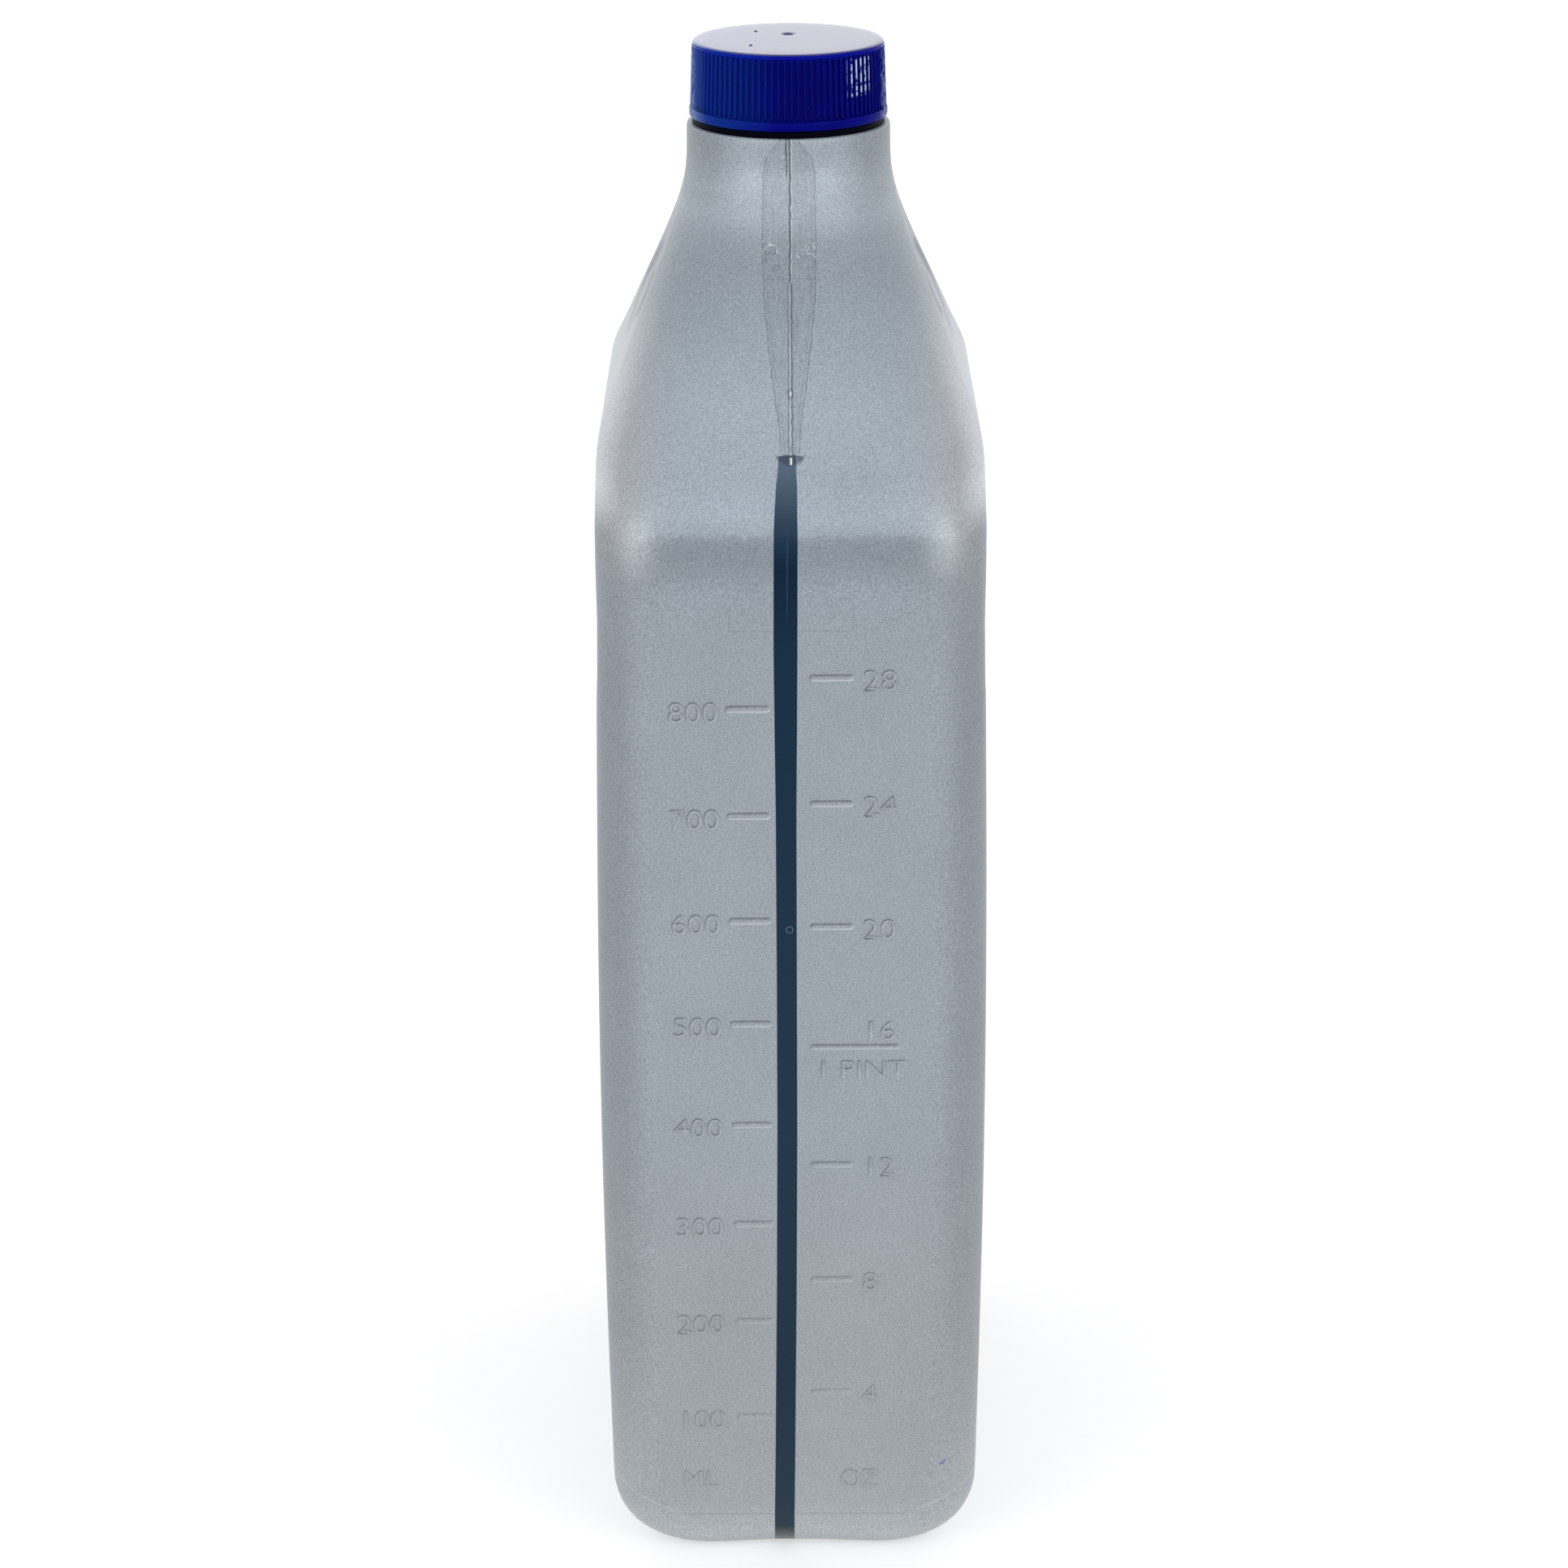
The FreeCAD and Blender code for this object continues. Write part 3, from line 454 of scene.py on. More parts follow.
    # View stripe, with a painted highlight line down its upper part and a small ring
    stripe, aside, lid = view_stripe(tree, x, y, z, tall)
    depth = set_ramp(add_node(tree, "ShaderNodeValToRGB", [tall]),
                     [(0.0, "#59616A"), (0.02, "#34454F"), (0.042, "#2A3D4E"), (0.135, "#1F3347"),
                      (0.32, "#1E3649"), (0.545, "#132F44"), (0.65, "#0A2B43"), (0.706, "#001F36"),
                      (0.72, "#122F48"), (0.735, "#2D4156"), (0.7535, "#495B6D"), (0.77, "#5C6E86")])
    stripe_gleam_and_ring = line_at(tree, aside, 0.25, 0.03, 0.08)
    gleam_span = line_at(tree, z, 169.5, 4.5, 3.0)
    stripe_gleam_and_ring = add_node(tree, "ShaderNodeMath", [stripe_gleam_and_ring, gleam_span], operation="MULTIPLY")
    stripe_gleam_and_ring = add_node(tree, "ShaderNodeMath", [stripe_gleam_and_ring, 0.13], operation="MULTIPLY")
    ring_x = add_node(tree, "ShaderNodeMath", [x, 0.44], operation="ADD")
    ring_z = add_node(tree, "ShaderNodeMath", [z, 112.0], operation="SUBTRACT")
    ring = add_node(tree, "ShaderNodeCombineXYZ", [ring_x, 0.0, ring_z])
    ring = add_node(tree, "ShaderNodeVectorMath", [ring], output="Value", operation="LENGTH")
    ring = line_at(tree, ring, 0.52, 0.04, 0.08)
    ring = add_node(tree, "ShaderNodeMath", [ring, 0.35], operation="MULTIPLY")
    stripe_gleam_and_ring = add_node(tree, "ShaderNodeMath", [stripe_gleam_and_ring, ring], operation="MAXIMUM")
    depth = add_node(tree, "ShaderNodeMix", {0: stripe_gleam_and_ring, 6: depth, 7: linear("#8E95B4")}, output=2,
                     data_type="RGBA")

    # Raised marks: painted shade along their upper edges and a painted highlight along their lower edges, from how
    # each point faces
    mark = add_node(tree, "ShaderNodeAttribute", output="Fac", attribute_name="edge")
    mark_top_shade = add_node(tree, "ShaderNodeMapRange", [mark, 0.08, 0.5, 0.0, 0.5])
    mark_foot_highlight = add_node(tree, "ShaderNodeMapRange", [mark, -0.08, -0.5, 0.0, 0.85])
    crisp = add_node(tree, "ShaderNodeMapRange", [z, 15.0, 100.0, 0.42, 1.0])
    mark_top_shade = add_node(tree, "ShaderNodeMath", [mark_top_shade, crisp], operation="MULTIPLY")
    mark_foot_highlight = add_node(tree, "ShaderNodeMath", [mark_foot_highlight, crisp], operation="MULTIPLY")

    # All darker and paler lines laid over the plastic
    dark = add_node(tree, "ShaderNodeMath", [outer_line, 0.32], operation="MULTIPLY")
    dark = add_node(tree, "ShaderNodeMath", [pair, 0.65, dark], operation="MULTIPLY_ADD")
    dark = add_node(tree, "ShaderNodeMath", [shadow, 0.42, dark], operation="MULTIPLY_ADD")
    dark = add_node(tree, "ShaderNodeMath", [folds, 0.22, dark], operation="MULTIPLY_ADD")
    dark = add_node(tree, "ShaderNodeMath", [dark, base_line], operation="ADD")
    dark = add_node(tree, "ShaderNodeMath", [insert, 0.16, dark], operation="MULTIPLY_ADD")
    dark = add_node(tree, "ShaderNodeMath", [cross, 0.14, dark], operation="MULTIPLY_ADD")
    dark = add_node(tree, "ShaderNodeMath", [knot_rim, 0.3, dark], operation="MULTIPLY_ADD")
    dark = add_node(tree, "ShaderNodeMath", [dark, mark_top_shade], operation="ADD")
    field = add_node(tree, "ShaderNodeMath", [streaks, 0.12, 0.03], operation="MULTIPLY_ADD")
    dark = add_node(tree, "ShaderNodeMath", [inside, field, dark], operation="MULTIPLY_ADD")
    plastic = add_node(tree, "ShaderNodeMix", {0: dark, 6: plastic, 7: linear("#20272E")}, output=2,
                       data_type="RGBA")
    pale = add_node(tree, "ShaderNodeMath", [ridge, 0.55], operation="MULTIPLY")
    pale = add_node(tree, "ShaderNodeMath", [gleam, 0.3, pale], operation="MULTIPLY_ADD")
    pale = add_node(tree, "ShaderNodeMath", [fold_gleam, 0.45, pale], operation="MULTIPLY_ADD")
    pale = add_node(tree, "ShaderNodeMath", [knot, pale], operation="MAXIMUM")
    pale = add_node(tree, "ShaderNodeMath", [pale, mark_foot_highlight], operation="ADD")
    pale = add_node(tree, "ShaderNodeMath", [pale, base_gleam], operation="ADD")
    plastic = add_node(tree, "ShaderNodeMix", {0: pale, 6: plastic, 7: linear("#E4E9EC")}, output=2,
                       data_type="RGBA")
    colour = add_node(tree, "ShaderNodeMix", {0: stripe, 6: plastic, 7: depth}, output=2, data_type="RGBA")
    # Painted shade under the crease at the top of the stripe
    lid = add_node(tree, "ShaderNodeMath", [lid, 0.7], operation="MULTIPLY")
    colour = add_node(tree, "ShaderNodeMix", {0: lid, 6: colour, 7: linear("#38424D")}, output=2,
                      data_type="RGBA")
    smear = add_node(tree, "ShaderNodeVectorMath", [place, (24.4, -50.0, 17.0)], operation="SUBTRACT")
    smear = add_node(tree, "ShaderNodeVectorRotate", {"Vector": smear, "Angle": 0.6},
                     rotation_type="Y_AXIS")
    smear = add_node(tree, "ShaderNodeVectorMath", [smear, (0.35, 0.1, 1.1)], operation="MULTIPLY")
    smear = add_node(tree, "ShaderNodeVectorMath", [smear], output="Value", operation="LENGTH")
    smear = add_node(tree, "ShaderNodeMapRange", [smear, 0.14, 0.34, 0.75, 0.0])
    colour = add_node(tree, "ShaderNodeMix", {0: smear, 6: colour, 7: linear("#3E70B8")}, output=2,
                      data_type="RGBA")
    tab_x = line_at(tree, x, 0.1, 0.13, 0.08)
    tab = line_at(tree, z, 185.8, 0.45, 0.1)
    tab = add_node(tree, "ShaderNodeMath", [tab, tab_x], operation="MULTIPLY")
    tab = add_node(tree, "ShaderNodeMath", [tab, front], operation="MULTIPLY")
    colour = add_node(tree, "ShaderNodeMix", {0: tab, 6: colour, 7: linear("#D9DFE4")}, output=2,
                      data_type="RGBA")
    tree.links.new(colour, shader.inputs["Base Color"])
    gloss = add_node(tree, "ShaderNodeMapRange", [stripe, 0.0, 1.0, 0.40, 0.32])
    tree.links.new(gloss, shader.inputs["Roughness"])
    flake = add_node(tree, "ShaderNodeMapRange", [stripe, 0.0, 1.0, 0.22, 0.0])
    tree.links.new(flake, shader.inputs["Metallic"])
    shader.inputs["Specular IOR Level"].default_value = 0.1

    # Moulded grain: bumps a third of a millimetre across, drawn coarser than real so that they show
    relief = add_node(tree, "ShaderNodeTexNoise", {"Vector": place, "Scale": 1.8, "Detail": 3.0})
    relief = add_node(tree, "ShaderNodeMath", [inside, 1.2, relief], operation="MULTIPLY_ADD")
    plain = add_node(tree, "ShaderNodeMapRange", [stripe, 0.0, 1.0, 0.16, 0.03])
    bump = add_node(tree, "ShaderNodeBump", {"Strength": plain, "Distance": 0.08 * MM, "Height": relief})
    tree.links.new(bump, shader.inputs["Normal"])
    return material


def cap_material(colours, name, roughness, shine, grain_depth):
    """Polypropylene, injection-moulded: saturated blue with a soft shine, and whitish scuffs on its ribs; painted
    light makes its left side paler, painted sheen lies at its left and right edges, painted highlights on the rib
    crests and the top edge, and painted shade between the ribs.
    """
    material, tree, shader = new_material(name)
    place, x, y, z = millimetres(tree)
    cloud = add_node(tree, "ShaderNodeTexNoise", {"Vector": place, "Scale": 0.3, "Detail": 3.0})
    cloud = add_node(tree, "ShaderNodeMapRange", [cloud, 0.3, 0.7, 0.85, 1.15])
    blue = add_node(tree, "ShaderNodeVectorMath", {0: tuple(colours.cap)[:3], "Scale": cloud}, operation="SCALE")

    # Painted light on the left side: a paler blue, and a painted reflection at its far left edge
    painted_left_light = add_node(tree, "ShaderNodeMapRange", [x, -2.0, -14.5, 0.0, 0.85])
    blue = add_node(tree, "ShaderNodeMix", {0: painted_left_light, 6: blue, 7: linear("#0A3A9A")}, output=2, data_type="RGBA")
    painted_left_reflection = add_node(tree, "ShaderNodeMapRange", [x, -12.8, -14.6, 0.0, 0.45])
    blue = add_node(tree, "ShaderNodeMix", {0: painted_left_reflection, 6: blue, 7: linear("#6C8CBC")}, output=2, data_type="RGBA")

    # Scuffs: torn whitish lines on the rib crests, in a patch 35 to 62 degrees right of the front
    around = add_node(tree, "ShaderNodeMath", [y, x], operation="ARCTAN2")
    reach = add_node(tree, "ShaderNodeVectorMath", [place, (1.0, 1.0, 0.0)], operation="MULTIPLY")
    radius = add_node(tree, "ShaderNodeVectorMath", [reach], output="Value", operation="LENGTH")
    root = add_node(tree, "ShaderNodeMapRange", [z, 231.8, 241.4, 15.1, 14.75])
    proud = add_node(tree, "ShaderNodeMath", [radius, root], operation="SUBTRACT")
    crest = add_node(tree, "ShaderNodeMapRange", [proud, 0.27, 0.295, 0.0, 1.0])
    start = add_node(tree, "ShaderNodeMapRange", [around, math.radians(-54.0), math.radians(-52.0), 0.0, 1.0])
    end = add_node(tree, "ShaderNodeMapRange", [around, math.radians(-38.0), math.radians(-31.0), 1.0, 0.0])
    foot = add_node(tree, "ShaderNodeMapRange", [z, 235.0, 235.4, 0.0, 1.0])
    head = add_node(tree, "ShaderNodeMapRange", [z, 240.7, 241.0, 1.0, 0.0])
    gap = line_at(tree, z, 236.9, 0.15, 0.2)
    gap = add_node(tree, "ShaderNodeMapRange", [gap, 0.0, 1.0, 1.0, 0.1])
    patch = add_node(tree, "ShaderNodeMath", [start, end], operation="MULTIPLY")
    patch = add_node(tree, "ShaderNodeMath", [patch, foot], operation="MULTIPLY")
    patch = add_node(tree, "ShaderNodeMath", [patch, head], operation="MULTIPLY")
    patch = add_node(tree, "ShaderNodeMath", [patch, gap], operation="MULTIPLY")
    ragged = add_node(tree, "ShaderNodeTexNoise", {"Vector": place, "Scale": 0.9, "Detail": 4.0,
                                                    "Roughness": 0.7})
    torn = add_node(tree, "ShaderNodeMapRange", [ragged, 0.41, 0.48, 0.0, 1.0])
    scuff_and_sheen = add_node(tree, "ShaderNodeMath", [patch, crest], operation="MULTIPLY")
    scuff_and_sheen = add_node(tree, "ShaderNodeMath", [scuff_and_sheen, torn], operation="MULTIPLY")
    side = add_node(tree, "ShaderNodeMapRange", [around, math.radians(-20.0), math.radians(-14.0), 0.0, 1.0])
    side_end = add_node(tree, "ShaderNodeMapRange", [around, math.radians(-10.0), math.radians(-4.0), 1.0, 0.0])
    side = add_node(tree, "ShaderNodeMath", [side, side_end], operation="MULTIPLY")
    skirt = add_node(tree, "ShaderNodeMapRange", [z, 241.2, 241.6, 0.5, 0.0])
    side = add_node(tree, "ShaderNodeMath", [side, skirt], operation="MULTIPLY")
    blotch = add_node(tree, "ShaderNodeMapRange", [ragged, 0.55, 0.61, 0.0, 1.0])
    side = add_node(tree, "ShaderNodeMath", [side, blotch], operation="MULTIPLY")
    scuff_and_sheen = add_node(tree, "ShaderNodeMath", [scuff_and_sheen, side], operation="MAXIMUM")
    # Painted sheen: frayed whitish streaks on the rib crests at the cap's left and right edges
    flank = add_node(tree, "ShaderNodeMath", [x], operation="ABSOLUTE")
    flank = add_node(tree, "ShaderNodeMapRange", [flank, 14.3, 15.1, 0.0, 0.4])
    crest_band = add_node(tree, "ShaderNodeMapRange", [proud, 0.1, 0.27, 0.0, 1.0])
    frayed = add_node(tree, "ShaderNodeMapRange", [ragged, 0.42, 0.52, 0.0, 1.0])
    flank = add_node(tree, "ShaderNodeMath", [flank, crest_band], operation="MULTIPLY")
    flank = add_node(tree, "ShaderNodeMath", [flank, frayed], operation="MULTIPLY")
    scuff_and_sheen = add_node(tree, "ShaderNodeMath", [scuff_and_sheen, flank], operation="MAXIMUM")
    specks = add_node(tree, "ShaderNodeTexNoise", {"Vector": place, "Scale": 1.6, "Detail": 2.0})
    specks = add_node(tree, "ShaderNodeMapRange", [specks, 0.76, 0.80, 0.0, 0.5])
    scuff_and_sheen = add_node(tree, "ShaderNodeMath", [scuff_and_sheen, specks], operation="MAXIMUM")
    # Painted highlight on the rib crests, strongest on the left side
    crest_highlight = add_node(tree, "ShaderNodeMapRange", [proud, 0.15, 0.28, 0.0, 0.5])
    left_side = add_node(tree, "ShaderNodeMapRange", [x, 2.0, -11.0, 0.15, 1.0])
    crest_highlight = add_node(tree, "ShaderNodeMath", [crest_highlight, left_side], operation="MULTIPLY")
    above_bead = add_node(tree, "ShaderNodeMapRange", [z, 231.9, 232.2, 0.0, 1.0])
    crest_highlight = add_node(tree, "ShaderNodeMath", [crest_highlight, above_bead], operation="MULTIPLY")
    blue = add_node(tree, "ShaderNodeMix", {0: crest_highlight, 6: blue, 7: linear("#04209A")}, output=2,
                    data_type="RGBA")
    # Painted shade in the grooves between the ribs
    valley = add_node(tree, "ShaderNodeMapRange", [proud, 0.03, 0.2, 0.3, 0.0])
    valley = add_node(tree, "ShaderNodeMath", [valley, above_bead], operation="MULTIPLY")
    valley = add_node(tree, "ShaderNodeMath", [1.0, valley], operation="SUBTRACT")
    blue = add_node(tree, "ShaderNodeVectorMath", {0: blue, "Scale": valley}, operation="SCALE")
    # Painted highlight along the rounded top edge
    rim = line_at(tree, z, 241.5, 0.25, 0.3)
    rim = add_node(tree, "ShaderNodeMath", [rim, 0.28], operation="MULTIPLY")
    blue = add_node(tree, "ShaderNodeMix", {0: rim, 6: blue, 7: linear("#041CC4")}, output=2, data_type="RGBA")
    colour = add_node(tree, "ShaderNodeMix", {0: scuff_and_sheen, 6: blue, 7: linear("#B4CCEE")}, output=2,
                      data_type="RGBA")
    tree.links.new(colour, shader.inputs["Base Color"])

    # Small nicks in the top are dull
    nicks = None
    for spot_x, spot_y in ((-5.1, 6.6), (-5.8, -6.2)):
        nick = add_node(tree, "ShaderNodeVectorMath", [place, (spot_x, spot_y, 242.2)], operation="SUBTRACT")
        nick = add_node(tree, "ShaderNodeVectorMath", [nick, (1.0, 0.35, 1.0)], operation="MULTIPLY")
        nick = add_node(tree, "ShaderNodeVectorMath", [nick], output="Value", operation="LENGTH")
        nicks = nick if nicks is None else add_node(tree, "ShaderNodeMath", [nicks, nick], operation="MINIMUM")
    gloss = add_node(tree, "ShaderNodeMapRange", [nicks, 0.22, 0.32, 1.0, roughness])
    tree.links.new(gloss, shader.inputs["Roughness"])
    shader.inputs["Specular IOR Level"].default_value = shine
    grain = add_node(tree, "ShaderNodeTexNoise", {"Vector": place, "Scale": 3.0, "Detail": 2.0})
    bump = add_node(tree, "ShaderNodeBump", {"Strength": grain_depth, "Distance": 0.05 * MM, "Height": grain})
    tree.links.new(bump, shader.inputs["Normal"])
    return material


def band_material(colours):
    """Polypropylene ring, moulded with the cap: the blue darkened to near black, painted shade for the shadow over
    its gap, faintly clouded.
    """
    material, tree, shader = new_material("band_polypropylene")
    place, x, y, z = millimetres(tree)
    cloud = add_node(tree, "ShaderNodeTexNoise", {"Vector": place, "Scale": 0.8, "Detail": 3.0})
    cloud = add_node(tree, "ShaderNodeMapRange", [cloud, 0.3, 0.7, 0.7, 1.2])
    blue = add_node(tree, "ShaderNodeVectorMath", {0: tuple(colours.band)[:3], "Scale": cloud}, operation="SCALE")
    tree.links.new(blue, shader.inputs["Base Color"])
    shader.inputs["Roughness"].default_value = 0.4
    shader.inputs["Specular IOR Level"].default_value = 0.02
    bump = add_node(tree, "ShaderNodeBump", {"Strength": 0.2, "Distance": 0.05 * MM, "Height": cloud})
    tree.links.new(bump, shader.inputs["Normal"])
    return material


def liner_material():
    """Foamed polyethylene wad: off-white with fine closed cells."""
    material, tree, shader = new_material("foam_wad")
    place, x, y, z = millimetres(tree)
    cells = add_node(tree, "ShaderNodeTexVoronoi", {"Vector": place, "Scale": 3.0})
    tint = set_ramp(add_node(tree, "ShaderNodeValToRGB", [cells]), [(0.0, "#DAD8D0"), (0.5, "#ECEAE3")])
    tree.links.new(tint, shader.inputs["Base Color"])
    shader.inputs["Roughness"].default_value = 0.75
    bump = add_node(tree, "ShaderNodeBump", {"Strength": 0.3, "Distance": 0.05 * MM, "Height": cells})
    tree.links.new(bump, shader.inputs["Normal"])
    return material


def label_material(colours):
    """Printed polypropylene film: a plain silver ground with a blue field, a drop and two rules, varnished."""
    material, tree, shader = new_material("printed_film")
    place, x, y, z = millimetres(tree)
    aside = add_node(tree, "ShaderNodeMath", [y], operation="ABSOLUTE")
    tall = add_node(tree, "ShaderNodeMapRange", [z, 22.0, 150.0, 0.0, 1.0])
    bands = set_ramp(add_node(tree, "ShaderNodeValToRGB", [tall]),
                     [(0.0, 0.0), (0.10, 1.0), (0.12, 0.0), (0.34, 1.0), (0.82, 0.0), (0.85, 1.0), (0.87, 0.0)],
                     "CONSTANT")
    side = add_node(tree, "ShaderNodeMapRange", [aside, 33.9, 34.1, 1.0, 0.0])
    field = add_node(tree, "ShaderNodeMath", [bands, side], operation="MULTIPLY")

    # A plain drop stands out in the ground's colour: a disc with a pointed hat
    spot = add_node(tree, "ShaderNodeCombineXYZ", [0.0, y, z])
    disc = add_node(tree, "ShaderNodeVectorMath", [spot, (0.0, 0.0, 89.0)], operation="SUBTRACT")
    disc = add_node(tree, "ShaderNodeVectorMath", [disc], output="Value", operation="LENGTH")
    disc = add_node(tree, "ShaderNodeMapRange", [disc, 10.9, 11.1, 1.0, 0.0])
    hat = add_node(tree, "ShaderNodeMath", [z, 0.5, aside], operation="MULTIPLY_ADD")
    hat = add_node(tree, "ShaderNodeMapRange", [hat, 56.7, 56.9, 1.0, 0.0])
    hat_foot = add_node(tree, "ShaderNodeMapRange", [z, 93.8, 94.0, 0.0, 1.0])
    hat = add_node(tree, "ShaderNodeMath", [hat, hat_foot], operation="MULTIPLY")
    drop = add_node(tree, "ShaderNodeMath", [disc, hat], operation="MAXIMUM")
    drop = add_node(tree, "ShaderNodeMath", [1.0, drop], operation="SUBTRACT")
    field = add_node(tree, "ShaderNodeMath", [field, drop], operation="MULTIPLY")
    fleck = add_node(tree, "ShaderNodeTexNoise", {"Vector": place, "Scale": 4.0, "Detail": 2.0})
    fleck = add_node(tree, "ShaderNodeMapRange", [fleck, 0.3, 0.7, 0.95, 1.05])
    ground = add_node(tree, "ShaderNodeVectorMath", {0: tuple(colours.label)[:3], "Scale": fleck},
                      operation="SCALE")
    colour = add_node(tree, "ShaderNodeMix", {0: field, 6: ground, 7: linear("#0C2570")}, output=2,
                      data_type="RGBA")
    tree.links.new(colour, shader.inputs["Base Color"])
    shader.inputs["Roughness"].default_value = 0.38
    shader.inputs["Specular IOR Level"].default_value = 0.25
    shader.inputs["Coat Weight"].default_value = 0.08
    shader.inputs["Coat Roughness"].default_value = 0.15
    wave = add_node(tree, "ShaderNodeTexNoise", {"Vector": place, "Scale": 0.05, "Detail": 2.0})
    bump = add_node(tree, "ShaderNodeBump", {"Strength": 0.15, "Distance": 0.3 * MM, "Height": wave})
    tree.links.new(bump, shader.inputs["Normal"])
    return material


def oil_material(colours):
    """Engine oil: clear amber, darker towards the bottom."""
    material, tree, shader = new_material("amber_oil")
    place, x, y, z = millimetres(tree)
    tall = add_node(tree, "ShaderNodeMapRange", [z, 0.0, 174.0, 0.45, 1.0])
    swirl = add_node(tree, "ShaderNodeTexNoise", {"Vector": place, "Scale": 0.04, "Detail": 2.0})
    swirl = add_node(tree, "ShaderNodeMapRange", [swirl, 0.3, 0.7, 0.9, 1.1])
    depth = add_node(tree, "ShaderNodeMath", [tall, swirl], operation="MULTIPLY")
    amber = add_node(tree, "ShaderNodeVectorMath", {0: tuple(colours.oil)[:3], "Scale": depth},
                     operation="SCALE")
    tree.links.new(amber, shader.inputs["Base Color"])
    shader.inputs["Roughness"].default_value = 0.06
    shader.inputs["IOR"].default_value = 1.47
    return material


def outline(points, z):
    """Half size at height z on a smooth curve through the points of an outline."""
    if z <= points[0][0]:
        return points[0][1]
    if z >= points[-1][0]:
        return points[-1][1]
    slopes = []
    for index in range(len(points)):
        before = points[max(index - 1, 0)]
        after = points[min(index + 1, len(points) - 1)]
        slopes.append((after[1] - before[1]) / (after[0] - before[0]))
    index = max(i for i in range(len(points) - 1) if points[i][0] <= z)
    start, end = points[index], points[index + 1]
    span = end[0] - start[0]
    t = (z - start[0]) / span
    value = start[1] * (1 + 2 * t) * (1 - t) ** 2 + end[1] * t * t * (3 - 2 * t)
    return value + span * (slopes[index] * t * (1 - t) ** 2 - slopes[index + 1] * t * t * (1 - t))


def soft_outline(points, z):
    """The outline with its bends eased over a few millimetres."""
    reach = 2.0
    shares = ((-1.0, 0.2), (-0.5, 0.2), (0.0, 0.2), (0.5, 0.2), (1.0, 0.2))
    return sum(share * outline(points, z + reach * step) for step, share in shares)


def smooth_step(start, end, value):
    """0 before start, 1 past end, and a smooth step between; start may be the larger one."""
    share = min(1.0, max(0.0, (value - start) / (end - start)))
    return share * share * (3.0 - 2.0 * share)


def round_inset(radius, height):
    """How far a quarter round stands back from its side at a height above its foot."""
    if height >= radius:
        return 0.0
    return radius - math.sqrt(max(0.0, radius * radius - (radius - height) ** 2))


def section_sizes(sizes, z, inset, foot):
    """Half thickness, half length and corner radius at height z, for the skin moved inwards by inset."""
    thickness = soft_outline(SHOULDER_THICKNESS, z)
    if z < BODY_TOP:
        thickness = sizes.half_thickness / MM + sizes.bulge / MM * math.sin(math.pi * z / BODY_TOP)
    depth = inset * (1.0 if z < BODY_TOP else 1.2)
    half_x = thickness - depth - round_inset(sizes.base_round_x / MM - inset, z - foot)
    half_y = soft_outline(SHOULDER_LENGTH, z) - depth - round_inset(sizes.base_round_y / MM - inset, z - foot)
    corner = soft_outline(SHOULDER_CORNER, z) - depth
    return half_x, half_y, min(corner, half_x, half_y)


def half_ring(half_x, half_y, corner):
    """Points of the right half of a rounded rectangle, from the front middle to the back middle."""
    centre_x, centre_y = half_x - corner, half_y - corner
    zone = SEAM_COLUMNS[-1] * min(1.0, half_x / 12.0)
    quarter = []
    for column in SEAM_COLUMNS:
        x = column * zone / SEAM_COLUMNS[-1]
        beyond = max(0.0, x - centre_x)
        quarter.append((x, centre_y + math.sqrt(max(0.0, corner * corner - beyond * beyond))))
    flat = max(0.0, centre_x - zone)
    start = math.asin(min(1.0, max(0.0, zone - centre_x) / max(corner, 1e-6)))
    arc = corner * (math.pi / 2 - start)
    total = flat + arc + centre_y
    for step in range(1, QUARTER_STEPS + 1):
        along = total * step / QUARTER_STEPS
        if along < flat:
            quarter.append((zone + along, half_y))
        elif along < flat + arc:
            angle = start + (along - flat) / corner
            quarter.append((centre_x + corner * math.sin(angle), centre_y + corner * math.cos(angle)))
        else:
            quarter.append((half_x, centre_y - (along - flat - arc)))
    front = [(x, -y) for x, y in quarter]
    return front + list(reversed(quarter[:-1]))


def full_ring(half_x, half_y, corner, z):
    """Points of a whole section, anticlockwise from the front middle."""
    right = half_ring(half_x, half_y, corner)
    left = [(-x, y) for x, y in reversed(right[1:-1])]
    return [Vector((x, y, z)) for x, y in right + left]


def shell_relief(sizes, x, y, z):
    """How far the skin stands out of its plain form: shoulder panels, seam ridge and pinch-off field."""
    out = 0.0
    if abs(x) > 10.0 and abs(y) < 13.0 and 190.0 < z < 214.0:
        oval = math.hypot(y / PANEL_HALF_LENGTH, (z - PANEL_Z) / PANEL_HALF_HEIGHT)
        depth = sizes.panel_depth / MM
        out -= depth * (1.0 - smooth_step(0.93, 1.03, oval))
        out += depth * (1.0 - smooth_step(0.84, 1.08, oval / PAD_SCALE))
    if abs(x) < 5.5 and z > 185.0:
        rough = noise.noise(Vector((0.0, math.copysign(5.0, y), z * 1.7)))
        along = smooth_step(RIDGE_FOOT - 0.4, RIDGE_FOOT + 0.4, z) * smooth_step(RIDGE_TOP + 0.4, RIDGE_TOP - 0.4, z)
        out += sizes.ridge / MM * (0.8 + 0.5 * rough) * along * (1.0 - smooth_step(0.08, 0.42, abs(x)))
        field = outline(PINCH_OUTLINE, z)
        out -= 0.07 * smooth_step(field + 0.15, field - 0.15, abs(x)) * smooth_step(228.9, 228.0, z)
        out += 0.12 * smooth_step(0.45, 0.15, math.hypot(x, 0.6 * (z - 194.9)))
    return out


